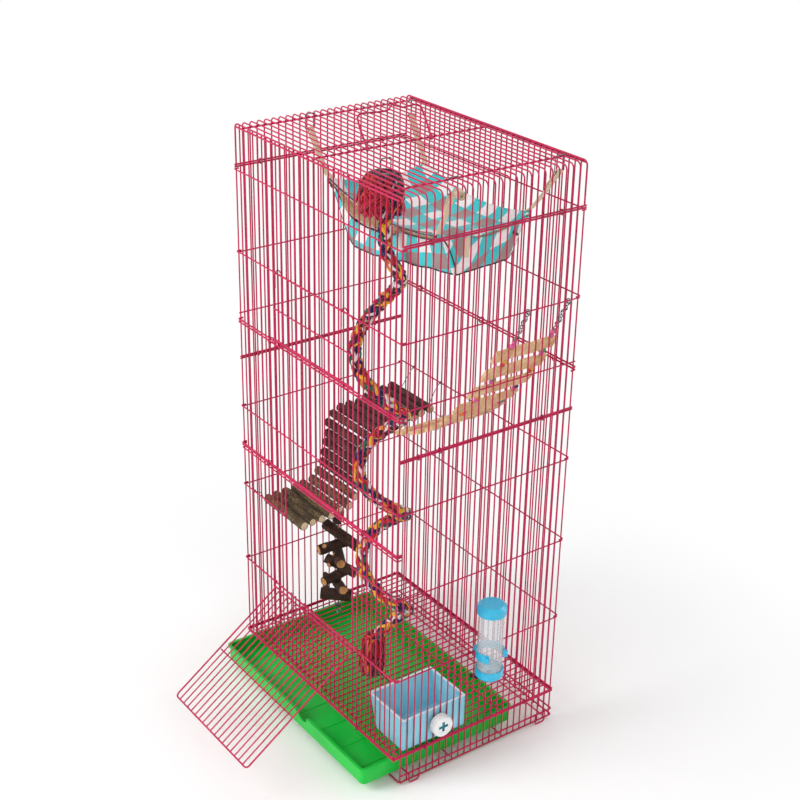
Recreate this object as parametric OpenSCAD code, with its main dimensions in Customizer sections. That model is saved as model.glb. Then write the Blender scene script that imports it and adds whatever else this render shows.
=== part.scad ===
// Tall wire cage for small pets, with drawer, doors, feeder, bottle and hanging toys.
// Shared frame: origin under the middle of the whole outline, z = 0 at the floor,
// front towards -Y, water bottle on the +X side. All lengths are in millimetres.
// Modules measure from the middle of the wire body at its lowest rail; shift carries them over.
// Welded wires cross in two planes and stand weld_gap apart, so each stays a true round wire.

/* [Body] */
// Distance between the corner wires along X
body_w = 455.6; // [400:13.4:600]
// Distance between the corner wires along Y
body_d = 335; // [268:13.4:470]
// Height of the top edge above the lowest rail
body_h = 1000; // [900:1:1100]
// Spacing of the upright wires
pitch = 13.4; // [10:0.1:20]
// Diameter of the mesh wires
mesh_d = 2.4; // [1.8:0.1:3]
// Diameter of the border and rail wires
frame_d = 3; // [2.4:0.1:4]
// Space left between two welded wires
weld_gap = 0.04; // [0.02:0.01:0.1]

/* [Levels] */
// Height of the wire floor's edge
floor_z = 54.7; // [40:0.1:80]
// Height of the lowest ring and the lower door's hinge wire
hinge_z = 207; // [150:1:260]
// Height of the second ring
ring2_z = 357.6; // [300:0.1:400]
// Height of the third ring
ring3_z = 509.5; // [480:0.1:560]
// Height of the fourth ring
ring4_z = 790; // [760:1:840]
// Height of the ring under the top edge
ring5_z = 929; // [900:1:950]
// Top wire of the lower door's opening
opening_top_z = 429; // [380:1:432]
// Joint between lower and middle front panels
front_joint1_z = 435; // [434:1:450]
// Joint between middle and upper front panels, hinge of the upper door
front_joint2_z = 670.2; // [640:0.1:700]
// Joint between lower and upper side panels
side_joint_z = 597; // [560:1:640]

/* [Doors] */
// Number of the upright at the left edge of both openings
open_first = 10; // [4:1:14]
// Number of the upright at the right edge of both openings
open_last = 25; // [20:1:30]
// Length of the lower door from hinge to free edge
door1_len = 258; // [240:1:270]
// Angle that the lower door is let down, from closed
door1_open = 125.7; // [90:0.1:130]
// Length of the upper door
door2_len = 122.5; // [110:0.5:140]
// Distance of the closed door plane in front of the hinge wire
door_set = 3.4; // [3.2:0.1:6]
// Wire of the hinge eyes and clips
eye_d = 1.8; // [1.4:0.1:2.4]

/* [Drawer] */
// Mean gap between the drawer and the side walls
tray_gap = 7.8; // [6:0.1:20]
// How much shallower than the body the drawer is
tray_short = 19; // [12:1:40]
// Drawer height
tray_h = 30; // [20:1:38]
// Wall thickness of the drawer
tray_t = 2.2; // [1.5:0.1:4]
// How far the drawer is pulled out
tray_out = 53; // [0:1:200]

/* [Fittings] */
// Feeder box length along Y
feeder_l = 126; // [90:1:150]
// Feeder box wall
feeder_t = 2.2; // [1.5:0.1:4]
// Feeder knob diameter
knob_d = 38; // [30:1:50]
// Bottle body diameter
bottle_d = 43; // [36:1:50]
// Handle lean from upright
handle_lean = 34; // [0:1:60]
// Handle arm length
handle_arm = 55; // [40:1:70]

/* [Toys] */
// Log diameter in the log bridge
log_d = 15.9; // [14:0.1:18]
// Log length
log_len = 121; // [90:1:130]
// Gap between the bridge's logs
log_gap = 2.8; // [2.6:0.1:6]
// Plank length
plank_len = 122; // [90:1:130]
// Plank width
plank_w = 26; // [20:1:30]
// Plank thickness
plank_t = 6; // [4:0.5:8]
// Bead diameter
bead_d = 8.4; // [7:0.1:9]
// Rope diameter
rope_d = 23; // [18:1:26]
// Rope spiral radius
rope_r = 38; // [30:1:50]

/* [Hidden] */
$fn = 48;
eps = 0.01;
// From the middle of the body at the lowest rail to the frame's origin:
// middle of the whole outline, at the floor under the feet
shift = [-22.6, 101.6, 5.9];
nx = round(body_w / pitch);
ny = round(body_d / pitch);
xp = nx * pitch / 2;
yp = ny * pitch / 2;
function wx(i) = -xp + pitch * i;
function wy(j) = -yp + pitch * j;
// Distance from the upright plane to the plane of crossing wires of diameter d
function over(d) = mesh_d / 2 + d / 2 + weld_gap;
om = over(mesh_d);
of = over(frame_d);
rm = mesh_d / 2;
rf = frame_d / 2;
front_lo2_z = front_joint2_z - frame_d - 2;
front_hi1_z = front_joint1_z + frame_d + 0.4;
side_hi_z = side_joint_z + frame_d + 0.4;
side_drop = mesh_d + 0.2;
side_top_z = ring5_z + rm + rf + 0.5;
skirt_z = side_top_z + frame_d + 0.6;
top_z = body_h + 4;
bar_z = top_z - rm - rf - weld_gap;
bend_r = 8;
roof_end_d = mesh_d + 0.4;
door_gap_x0 = wx(open_first);
door_gap_x1 = wx(open_last);
hinge_y = -(yp + of);
eye_r = rf + 0.08 + eye_d / 2;
base_mid_z = 12.5;
base_top_z = floor_z - frame_d - 0.2;
tie_z = base_mid_z - rf - rm - weld_gap;
tray_z = tie_z + rm + 0.24;
tie_y = [-138, wy(8.5), wy(16.5), wy(23.5)];
grid_x_z = floor_z + rf + rm + weld_gap;
grid_y_z = grid_x_z - mesh_d - weld_gap;

// Round wires along the three axes, between two values
module xwire(x0, x1, y, z, d = mesh_d) {
    translate([x0, y, z]) rotate([0, 90, 0]) cylinder(h = x1 - x0, d = d);
}
module ywire(y0, y1, x, z, d = mesh_d) {
    translate([x, y0, z]) rotate([-90, 0, 0]) cylinder(h = y1 - y0, d = d);
}
module zwire(z0, z1, x, y, d = mesh_d) {
    translate([x, y, z0]) cylinder(h = z1 - z0, d = d);
}
// Round bar between two points
module rod(a, b, d = mesh_d) {
    v = b - a;
    l = norm(v);
    translate(a) rotate([0, acos(v[2] / l), atan2(v[1], v[0])]) cylinder(h = l, d = d);
}
// Part of a wire ring in the XY plane, radius r to the wire's middle
module arc(r, d, ang = 360) {
    rotate_extrude(angle = ang) translate([r, 0]) circle(d = d);
}
// Wire ring whose axis runs along X
module xring(x, y, z, r, d) {
    translate([x, y, z]) rotate([0, 90, 0]) arc(r, d);
}
// Wire ring whose axis runs along Y
module yring(x, y, z, r, d) {
    translate([x, y, z]) rotate([90, 0, 0]) arc(r, d);
}
// Rounded rectangle centred on the origin
module plate2d(w, l, r) {
    square([w - 2 * r, l], center = true);
    square([w, l - 2 * r], center = true);
    for (sx = [-1, 1], sy = [-1, 1]) translate([sx * (w / 2 - r), sy * (l / 2 - r)]) circle(r = r);
}

// Swept tube along route points, as one closed mesh
function unit(v) = v / norm(v);
function tangents(p) = [for (i = [0:len(p) - 1])
    unit(p[min(i + 1, len(p) - 1)] - p[max(i - 1, 0)])];
function carry(t, n, i = 0) = i == len(t) ? [] :
    let (u = unit(n - (n * t[i]) * t[i])) concat([u], carry(t, u, i + 1));
module tube(p, d, sides = 8, first = [1, 0.02, 0.03]) {
    t = tangents(p);
    n = carry(t, first);
    m = len(p);
    pts = [for (i = [0:m - 1], k = [0:sides - 1])
        let (b = cross(t[i], n[i]), a = 360 * k / sides)
        p[i] + d / 2 * (cos(a) * n[i] + sin(a) * b)];
    sides_f = [for (i = [0:m - 2], k = [0:sides - 1])
        [i * sides + k, (i + 1) * sides + k,
         (i + 1) * sides + (k + 1) % sides, i * sides + (k + 1) % sides]];
    cap0 = [[for (k = [0:sides - 1]) k]];
    cap1 = [[for (k = [sides - 1:-1:0]) (m - 1) * sides + k]];
    polyhedron(points = pts, faces = concat(sides_f, cap0, cap1));
}

// Front or rear ring that turns tightly round both corner wires; s = -1 front, 1 rear
module end_ring(z, s, d = mesh_d, leg = 6) {
    o = over(d);
    xwire(-xp, xp, s * (yp + o), z, d);
    for (t = [-1, 1]) {
        a = s > 0 ? (t > 0 ? 0 : 90) : (t > 0 ? 270 : 180);
        translate([t * xp, s * yp, z]) rotate([0, 0, a]) arc(o, d, 90);
        ywire(min(s * yp, s * (yp - leg)), max(s * yp, s * (yp - leg)), t * (xp + o), z, d);
    }
}
// Front or rear border without corner turns
module end_border(z, s, cut = 0) {
    xwire(-xp - rm + cut, xp + rm - cut, s * (yp + of), z, frame_d);
}
// Side ring or border; s = -1 left, 1 right
module side_ring(z, s, d = mesh_d) {
    ywire(-yp - rm, yp + rm, s * (xp + over(d)), z, d);
}
module end_uprights(z0, z1, s, i0 = 0, i1 = nx) {
    for (i = [i0:i1]) zwire(z0, z1, wx(i), s * yp);
}
module side_uprights(z0, z1, s) {
    for (j = [1:ny - 1]) zwire(z0, z1, s * xp, wy(j));
}

// Sub-part to draw

// Rails, uprights and cross ties under the floor; the drawer runs between the sides
module base_frame() {
    color("#c8305a") translate(shift) {
        for (s = [-1, 1], z = [0, base_mid_z]) ywire(wy(1) - rm, yp + rm, s * (xp + of), z, frame_d);
        for (s = [-1, 1]) ywire(-yp - rm, yp + rm, s * (xp + of), base_top_z, frame_d);
        for (z = [0, base_mid_z, base_top_z]) xwire(-xp - rm, xp + rm, yp + of, z, frame_d);
        xwire(-xp - rm, xp + rm, -yp - of, base_top_z, frame_d);
        xwire(-xp - rm, xp + rm, wy(1) - of, 0, frame_d);
        for (s = [-1, 1], j = [1:ny - 1]) zwire(-rm, base_top_z + rm, s * xp, wy(j));
        for (i = [0:nx]) zwire(-rm, base_top_z + rm, wx(i), yp);
        for (s = [-1, 1]) zwire(base_top_z - 6, base_top_z + rm, s * xp, -yp);
        for (y = tie_y) xwire(-xp - of - rf, xp + of + rf, y, tie_z);
    }
}

// Four wire loops outside the rails; their undersides are pressed flat and carry the cage
loop_y = [-129, 143];
loop_w = 20;
loop_low = -5;
loop_flat = -5.9;
module foot_loop(s, y) {
    x = s * (xp + of + rf + rm + weld_gap);
    r = 5;
    h = loop_w / 2;
    difference() {
        union() {
            ywire(y - h + r, y + h - r, x, loop_low);
            for (t = [-1, 1]) {
                translate([x, y + t * (h - r), loop_low + r]) rotate([90, 0, 90])
                    rotate([0, 0, t > 0 ? -90 : 180]) arc(r, mesh_d, 90);
                zwire(loop_low + r, base_mid_z + 4, x, y + t * h);
            }
        }
        translate([x - 3, y - loop_w, loop_flat - 5]) cube([6, 2 * loop_w, 5]);
    }
}
module foot_loops() {
    color("#c8305a") translate(shift) for (s = [-1, 1], y = loop_y) foot_loop(s, y);
}

// Wire floor: long wires along Y hung under cross wires that lie on the side borders
module floor_grid() {
    color("#c8305a") translate(shift) {
        for (i = [1:nx - 1]) ywire(-yp + 3, yp - 3, wx(i), grid_y_z);
        for (j = [0.5, 8.5, 16.5, 24.5]) xwire(-xp - of - 1, xp + of + 1, wy(j), grid_x_z);
    }
}

module front_lower_panel() {
    color("#c8305a") translate(shift) {
        z0 = floor_z - rm;
        z1 = front_joint1_z + rm;
        end_uprights(z0, z1, -1, 0, open_first);
        end_uprights(z0, z1, -1, open_last, nx);
        end_uprights(z0, hinge_z + rm, -1, open_first + 1, open_last - 1);
        end_uprights(opening_top_z - rm, z1, -1, open_first + 1, open_last - 1);
        end_border(floor_z, -1);
        end_ring(hinge_z, -1, frame_d);
        difference() {
            end_ring(ring2_z, -1);
            translate([door_gap_x0 + rm, -yp - 6, ring2_z - 3])
                cube([door_gap_x1 - door_gap_x0 - mesh_d, 6, 6]);
        }
        end_ring(opening_top_z, -1);
        end_ring(front_joint1_z, -1, frame_d);
    }
}
module front_middle_panel() {
    color("#c8305a") translate(shift) {
        end_uprights(front_hi1_z - rm, front_lo2_z + rm, -1);
        end_ring(front_hi1_z, -1, frame_d);
        end_ring(ring3_z, -1);
        end_ring(front_lo2_z, -1, frame_d);
    }
}
module front_upper_panel() {
    color("#c8305a") translate(shift) {
        z0 = front_joint2_z - rm;
        z1 = body_h + 2.2;
        zwire(z0, ring5_z + 2, -xp, -yp);
        zwire(z0, ring5_z + 2, xp, -yp);
        end_uprights(z0, z1, -1, 1, open_first);
        end_uprights(z0, z1, -1, open_last, nx - 1);
        end_uprights(z0, front_joint2_z + rm, -1, open_first + 1, open_last - 1);
        end_uprights(ring4_z - rm, z1, -1, open_first + 1, open_last - 1);
        end_ring(front_joint2_z, -1, frame_d);
        end_ring(ring4_z, -1);
        end_ring(ring5_z, -1);
        end_border(body_h, -1, 7);
    }
}
module rear_lower_panel() {
    color("#c8305a") translate(shift) {
        end_uprights(floor_z - rm, front_lo2_z + rm, 1);
        end_border(floor_z, 1);
        end_ring(hinge_z, 1);
        end_ring(ring2_z, 1);
        end_ring(ring3_z, 1);
        end_ring(front_lo2_z, 1, frame_d);
    }
}
module rear_upper_panel() {
    color("#c8305a") translate(shift) {
        z0 = front_joint2_z - rm;
        for (s = [-1, 1]) zwire(z0, ring5_z + 2, s * xp, yp);
        end_uprights(z0, body_h + 2.2, 1, 1, nx - 1);
        end_ring(front_joint2_z, 1, frame_d);
        end_ring(ring4_z, 1);
        end_ring(ring5_z, 1);
        end_border(body_h, 1, 7);
    }
}
module side_lower(s) {
    side_uprights(floor_z - rm, side_joint_z + rm, s);
    side_ring(floor_z, s, frame_d);
    for (z = [hinge_z - 0.4, ring2_z, ring3_z]) side_ring(z - side_drop, s);
    side_ring(side_joint_z, s, frame_d);
}
module side_upper(s) {
    side_uprights(side_hi_z - rm, side_top_z + rm, s);
    side_ring(side_hi_z, s, frame_d);
    side_ring(680, s);
    side_ring(ring4_z - side_drop, s);
    side_ring(side_top_z, s, frame_d);
}
module left_lower_panel() {
    color("#c8305a") translate(shift) side_lower(-1);
}
module left_upper_panel() {
    color("#c8305a") translate(shift) side_upper(-1);
}
module right_lower_panel() {
    color("#c8305a") translate(shift) side_lower(1);
}
module right_upper_panel() {
    color("#c8305a") translate(shift) side_upper(1);
}

// Roof: wires along X bent down at both sides, three bars along Y under them
bar_x = [-202, -6, 183];
module roof_wire(y, d) {
    xwire(-xp + bend_r, xp - bend_r, y, top_z, d);
    for (s = [-1, 1]) translate([s * (xp - bend_r), y, top_z - bend_r]) rotate([90, 0, 0])
        rotate([0, 0, s > 0 ? 0 : 90]) arc(bend_r, d, 90);
}
module top_panel() {
    color("#c8305a") translate(shift) {
        for (j = [1:ny - 1]) roof_wire(wy(j), mesh_d);
        for (s = [-1, 1]) roof_wire(s * yp, roof_end_d);
        for (x = bar_x) ywire(-yp + 1.7, yp - 1.7, x, bar_z, frame_d);
    }
}
// The roof wires' turned-down ends with their border wires, up to the bends
module roof_skirt() {
    color("#c8305a") translate(shift) for (s = [-1, 1]) {
        for (j = [1:ny - 1]) zwire(skirt_z - rm, top_z - bend_r, s * xp, wy(j));
        for (t = [-1, 1]) zwire(skirt_z - rm, top_z - bend_r, s * xp, t * yp, roof_end_d);
        ywire(-yp - rm, yp + rm, s * (xp + of), skirt_z, frame_d);
    }
}

// Bent wire clips that hold two border wires together
module clip_x(x, s, z_lo, z_hi) {
    r = (z_hi - z_lo) / 2 + rf + 0.1 + eye_d / 2;
    xring(x, s * (yp + of), (z_lo + z_hi) / 2, r, eye_d);
}
module clip_y(y, s, z_lo, z_hi) {
    r = (z_hi - z_lo) / 2 + rf + 0.1 + eye_d / 2;
    yring(s * (xp + of), y, (z_lo + z_hi) / 2, r, eye_d);
}
module panel_clips() {
    color("#c8305a") translate(shift) {
        for (i = [6.5, 27.5]) clip_x(wx(i), -1, front_joint1_z, front_hi1_z);
        for (i = [7.5, 32.5]) clip_x(wx(i), -1, front_lo2_z, front_joint2_z);
        for (i = [3.5, 16.5, 30.5]) clip_x(wx(i), 1, front_lo2_z, front_joint2_z);
        for (s = [-1, 1], j = [2.5, 5.5, 20.5]) clip_y(wy(j), s, side_joint_z, side_hi_z);
        for (s = [-1, 1], j = [3.5, 21.5]) clip_y(wy(j), s, side_top_z, skirt_z);
        for (s = [-1, 1], j = [4.5, 20.5]) clip_y(wy(j), s, base_top_z, floor_z);
        for (i = [7.5, 26.5], s = [-1, 1]) clip_x(wx(i), s, base_top_z, floor_z);
    }
}

// Door drawn closed, hinge wire on the X axis, door standing up along +Z at y = -door_set
module door_leaf(x0, x1, len, bars, eyes) {
    r = 7;
    y = -door_set;
    z0 = 6.5;
    xwire(x0 + r, x1 - r, y, len, frame_d);
    xwire(min(x0, eyes[0] - eye_d), max(x1, eyes[1] + eye_d), y, z0, frame_d);
    for (t = [-1, 1]) {
        x = t < 0 ? x0 : x1;
        zwire(z0, len - r, x, y, frame_d);
        translate([x - t * r, y, len - r]) rotate([90, 0, 0])
            rotate([0, 0, t > 0 ? 0 : 90]) arc(r, frame_d, 90);
    }
    n = round((x1 - x0) / pitch);
    step = (x1 - x0) / n;
    for (k = [1:n - 1]) zwire(z0 + rf + weld_gap, len - rf - weld_gap, x0 + k * step, y);
    for (z = bars) xwire(x0 + rf + 0.1, x1 - rf - 0.1, y - mesh_d - weld_gap, z);
    for (x = eyes) {
        foot = [x, -eye_r - 0.1, 1];
        seat = [x, y, z0];
        xring(x, 0, 0, eye_r, eye_d);
        rod(foot, seat - (rf + weld_gap) * unit(seat - foot), eye_d);
    }
}
module upper_door() {
    color("#c8305a") translate(shift) translate([0, hinge_y, front_joint2_z]) {
        door_leaf(wx(9) - 1.8, wx(25.5) + 2.1, door2_len, [62], [wx(9.5), wx(23.5)]);
        for (x = [wx(9.5), wx(23.5)]) door_latch(x, door2_len);
    }
}
// Bent wire latch on the face of a door: it reaches over the door's edge and the ring behind it
module door_latch(x, len) {
    y0 = -door_set - rf - eye_d / 2 - weld_gap;
    y1 = 3.4;
    zwire(len - 24, len - weld_gap, x, y0, eye_d);
    translate([x, (y0 + y1) / 2, len]) rotate([90, 0, 90]) arc((y1 - y0) / 2, eye_d, 180);
    translate([x, y1, len]) sphere(d = eye_d);
}
module lower_door() {
    color("#c8305a") translate(shift) translate([0, hinge_y, hinge_z]) rotate([door1_open, 0, 0])
        door_leaf(wx(8) - 1.4, wx(25.5) + 1.1, door1_len, [149], [wx(7.5), wx(23.5), wx(26.5)]);
}

// Carrying handle: two eyes round the middle roof bar, arms and a waved grip
handle_y = [wy(7.5), wy(16.5)];
module carry_handle() {
    r = rf + 0.1 + rf;
    a = handle_y[0];
    b = handle_y[1];
    L = handle_arm;
    bump = 9;
    color("#c8305a") translate(shift) translate([bar_x[1], 0, bar_z]) rotate([0, -handle_lean, 0]) {
        for (y = handle_y) yring(0, y, 0, r, frame_d);
        tube(concat([[0, a, r + 0.4], [0, a, 12], [0, a - 1, 30], [0, a, 44]],
            [for (t = [0:10:90]) [0, a + 10 * (1 - cos(t)), L - 10 + 10 * sin(t)]],
            [for (t = [0:0.1:1]) [0, a + 10 + 5 + t * (b - a - 30), L
                - 2.5 * sin(180 * t) + bump * exp(-pow((t - 0.62) / 0.09, 2))]],
            [for (t = [90:-10:0]) [0, b - 10 * (1 - cos(t)), L - 10 + 10 * sin(t)]],
            [[0, b, 44], [0, b + 1, 30], [0, b, 12], [0, b, r + 0.4]]), frame_d, 12);
    }
}

// Drawer with a rolled rim and a finger recess in its front edge
tray_x = -5;
tray_w = 2 * xp - 2 * tray_gap;
tray_d = 2 * yp - tray_short;
tray_y = -yp - tray_out + tray_d / 2;
module tray() {
    color("#1fae3a") translate(shift) translate([tray_x, tray_y, tray_z]) {
        difference() {
            union() {
                linear_extrude(height = tray_h) plate2d(tray_w - 6, tray_d - 6, 8);
                translate([0, 0, tray_h - 3]) linear_extrude(height = 3) plate2d(tray_w, tray_d, 10);
            }
            translate([0, 0, tray_t]) linear_extrude(height = tray_h)
                plate2d(tray_w - 6 - 2 * tray_t, tray_d - 6 - 2 * tray_t, 7);
            translate([35, -tray_d / 2 + 3, tray_h + 1]) rotate([90, 0, 0])
                cylinder(h = 20, r = 16, center = true);
        }
        translate([0, 0, tray_t - eps]) for (k = [-3:3]) translate([k * 60 - 1, -tray_d / 2 + 20, 0])
            cube([2, tray_d - 40, 0.8]);
    }
}

// Feeder box with a sloping inner side, held to the right wall by a knob and stud
feeder_y = -yp + 19.5;
feeder_x = xp - rm - 0.4;
feeder_z = grid_x_z + rm + 0.3;
feeder_h = 60;
knob_y = wy(6.5);
knob_z = 91;
stud_d = 6;
module feeder_box() {
    o = [[feeder_x - 74, 0], [feeder_x, 0], [feeder_x, feeder_h], [feeder_x - 95, feeder_h]];
    t = feeder_t;
    i = [[feeder_x - 72.6, t], [feeder_x - t, t], [feeder_x - t, feeder_h + 1],
        [feeder_x - 93, feeder_h + 1]];
    color("#5cc4dc") translate(shift) difference() {
        union() {
            translate([0, feeder_y + feeder_l, feeder_z]) rotate([90, 0, 0])
                linear_extrude(height = feeder_l) polygon(o);
            translate([feeder_x - 96.5, feeder_y - 1, feeder_z + feeder_h - 2]) cube([96.5, feeder_l + 2, 2]);
        }
        translate([0, feeder_y + feeder_l - t, feeder_z]) rotate([90, 0, 0])
            linear_extrude(height = feeder_l - 2 * t) polygon(i);
        translate([feeder_x - 10, knob_y, knob_z]) rotate([0, 90, 0]) cylinder(h = 20, d = stud_d + 0.6);
    }
}
// Inner plate with the stud that reaches out between two uprights
module feeder_plate() {
    color("#5cc4dc") translate(shift) {
        translate([feeder_x - feeder_t - 3.1, knob_y, knob_z]) rotate([0, 90, 0]) cylinder(h = 3, d = 24);
        translate([feeder_x - feeder_t - 3.1 + 2.9, knob_y, knob_z]) rotate([0, 90, 0])
            cylinder(h = 18.2, d = stud_d);
    }
}
module feeder_knob() {
    x = xp + of + rf + 0.3;
    h = 15;
    color("#f2f4f4") translate(shift) translate([x, knob_y, knob_z]) rotate([0, 90, 0]) difference() {
        union() {
            cylinder(h = h, d = knob_d - 3);
            for (a = [0:12:359]) rotate([0, 0, a]) translate([knob_d / 2 - 1.9, 0, 0])
                cylinder(h = h - 1.5, d = 3.2);
        }
        translate([0, 0, -1]) cylinder(h = h - 4, d = stud_d + 0.15);
        translate([0, 0, h - 1.4]) cylinder(h = 2, d = 22);
        for (a = [0, 90]) rotate([0, 0, a]) translate([-9, -2.6, h - 4]) cube([18, 5.2, 4]);
    }
}

// Water bottle outside the right wall, hung in a clip ring
bot_x = xp + bottle_d / 2 + 7.2;
bot_y = 2;
bot_z = 166;
bot_h = 140;
module bottle_base() {
    color("#2fb0e0") translate(shift) translate([bot_x, bot_y, bot_z]) difference() {
        union() {
            cylinder(h = 5, d1 = bottle_d - 4, d2 = bottle_d + 4);
            translate([0, 0, 5]) cylinder(h = 13, d = bottle_d + 4);
        }
        translate([0, 0, 8]) cylinder(h = 20, d = bottle_d + 0.1);
        translate([0, 0, -1]) cylinder(h = 20, d = 9.2);
    }
}
module bottle_body() {
    color("#d8e8ee") translate(shift) translate([bot_x, bot_y, bot_z + 8.1]) difference() {
        cylinder(h = bot_h - 14, d = bottle_d);
        translate([0, 0, 2]) cylinder(h = bot_h, d = bottle_d - 3.2);
        translate([0, 0, -1]) cylinder(h = 5, d = 14);
    }
}
module bottle_cap() {
    z = bot_z + bot_h - 17;
    color("#2fb0e0") translate(shift) translate([bot_x, bot_y, z]) difference() {
        union() {
            cylinder(h = 13, d = bottle_d + 5);
            translate([0, 0, 13]) cylinder(h = 4, d1 = bottle_d + 5, d2 = bottle_d - 5);
            for (a = [0:15:359]) rotate([0, 0, a]) translate([bottle_d / 2 + 2.4, 0, 1])
                cylinder(h = 11, d = 1.2);
        }
        translate([0, 0, -1]) cylinder(h = 13, d = bottle_d + 0.2);
    }
}
module bottle_spout() {
    a = [bot_x, bot_y, bot_z - 2];
    b = [bot_x, bot_y, bot_z - 9];
    tip = [xp - 14, 0, bot_z - 24];
    color("#3a3d40") translate(shift) {
        translate([0, 0, -2]) translate([bot_x, bot_y, bot_z]) cylinder(h = 9.8, d = 9);
        translate([bot_x, bot_y, bot_z - 8]) cylinder(h = 7, d = 11);
        difference() {
            union() {
                translate(b + [0, 0, 2]) sphere(d = 10);
                rod(b + [0, 0, 2], tip, 8);
            }
            rod(tip + 7 * unit(b - tip), tip + 3 * unit(tip - b), 6.4);
        }
    }
}
module bottle_ball() {
    b = [bot_x, bot_y, bot_z - 7];
    tip = [xp - 14, 0, bot_z - 24];
    color("#c9ced2") translate(shift) translate(tip + 1.9 * unit(b - tip)) sphere(d = 6);
}
module bottle_clip() {
    d = bottle_d + 0.5;
    back = bot_x - xp - of - rf - 0.3;
    color("#2fb0e0") translate(shift) translate([bot_x, bot_y, bot_z + 39]) difference() {
        union() {
            cylinder(h = 14, d = d + 5);
            translate([-back, -8, 1]) cube([back - d / 2 + 2, 15, 12]);
            for (t = [-1, 1]) translate([-back, t * 9 - bot_y, 7]) rotate([0, 90, 0])
                cylinder(h = 7, d = 10);
            for (a = [-48, 48]) rotate([0, 0, a]) translate([d / 2 + 0.25, -2, 1.5]) cube([7, 4, 11]);
        }
        translate([0, 0, -1]) cylinder(h = 16, d = d);
        translate([0, 0, -1]) linear_extrude(height = 16)
            polygon([[0, 0], [60, -60 * tan(42)], [60, 60 * tan(42)]]);
    }
}

// Log bridge: logs along X on two threaded wires; headings in degrees below level
log_x = -149;
log_pitch = log_d + log_gap;
log_head = [10, 11, 10, 6, 2, 4, 20, 66, 78, 84, 77, 76, 66, 38, 17, 8, 5, 3, 2];
function log_pts(i = 0, p = [130, 478]) = i == len(log_head) ? [p] :
    concat([p], log_pts(i + 1, p + log_pitch * [-cos(log_head[i]), -sin(log_head[i])]));
log_c = log_pts();
n_logs = len(log_c);
function log_dir(k) = k == 0 ? log_head[0] : k == n_logs - 1 ? log_head[k - 1] :
    (log_head[k - 1] + log_head[k]) / 2;
wire_x = [log_x - 42, log_x + 42];
log_wire_d = 1.6;
function log_off(k) = 2.5 * sin(211 * k);
module log(k) {
    a = log_dir(k);
    d = log_d + 1.1 * sin(137 * k);
    off = log_off(k);
    translate([log_x + off, log_c[k][0], log_c[k][1]]) difference() {
        rotate([0, 90, 0]) cylinder(h = log_len, d = d, center = true);
        for (x = wire_x) translate([x - log_x - off, 0, 0]) rotate([90 + a, 0, 0])
            cylinder(h = 20, d = log_wire_d + 0.6, center = true);
    }
}
module logs_upper() {
    color("#5a4030") translate(shift) for (k = [0:6]) log(k);
}
module logs_middle() {
    color("#5a4030") translate(shift) for (k = [7:12]) log(k);
}
module logs_lower() {
    color("#5a4030") translate(shift) for (k = [13:n_logs - 1]) log(k);
}
function log_route(x) = [for (k = [0:n_logs - 1], t = [-8.6, 8.6])
    let (a = log_dir(k)) [x, log_c[k][0] - t * cos(a), log_c[k][1] - t * sin(a)]];
module log_wires() {
    color("#9aa0a4") translate(shift) for (x = wire_x) tube(log_route(x), log_wire_d, 8);
}
// Hooks from the bridge wires' ends to the rear and front rings
module log_hooks() {
    r = rm + 0.25 + 0.8;
    k = n_logs - 1;
    a0 = log_dir(0);
    a1 = log_dir(k);
    color("#9aa0a4") translate(shift) for (i = [2.5, 8.5]) {
        xa = i < 5 ? wire_x[0] : wire_x[1];
        p0 = [xa, log_c[0][0] + 9.4 * cos(a0), log_c[0][1] + 9.4 * sin(a0)];
        q0 = [wx(i), yp + om - 0.9 * r, ring3_z - 0.5 * r];
        tube([p0, p0 + [0, 3, 0.4], q0 + [0, -9, -10], q0 + [0, -3.5, -3], q0], 1.6, 8, [1, 0, 0.2]);
        xring(wx(i), yp + om, ring3_z, r, 1.6);
        p1 = [xa, log_c[k][0] - 9.4 * cos(a1), log_c[k][1] - 9.4 * sin(a1)];
        q1 = [wx(i), -yp - om + 0.9 * r, ring2_z - 0.5 * r];
        tube([p1, p1 + [0, -3, 0], q1 + [0, 11, -6], q1 + [0, 3.5, -2], q1], 1.6, 8, [1, 0, 0.2]);
        xring(wx(i), -yp - om, ring2_z, r, 1.6);
    }
}

// Plank bridge: route of bead pairs in x and z, planks between them
row = [[194, 719], [173, 680], [148, 640], [112, 594], [78, 555], [44, 523], [4, 496], [-41, 474],
    [-82, 459]];
row_y = [71, 150];
plank_y = 103;
cord_d = 1.8;
// Logs that the two cords are tied to
cord_log = [3, 0];
module plank(k) {
    v = row[k + 1] - row[k];
    l = norm(v);
    a = atan2(v[1], v[0]);
    c = (row[k] + row[k + 1]) / 2;
    h = plank_len / 2;
    w = min(plank_w / 2, l / 2 - bead_d - 2.2);
    ends = [for (i = [0:12]) [-w + 1.1 * sin(67 * i + 90 * k) + 0.5 * sin(151 * i), -h + i * h / 6]];
    back = [for (i = [12:-1:0]) [w + 1.1 * sin(59 * i + 70 * k) + 0.5 * cos(143 * i), -h + i * h / 6]];
    translate([c[0], plank_y, c[1]]) rotate([0, -a, 0]) difference() {
        translate([0, 0, -plank_t / 2]) linear_extrude(height = plank_t) polygon(concat(ends, back));
        for (y = row_y) translate([0, y - plank_y, 0]) rotate([0, 90, 0])
            cylinder(h = 60, d = cord_d + 0.6, center = true);
    }
}
module planks() {
    color("#d8ba8c") translate(shift) for (k = [0:7]) plank(k);
}
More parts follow.
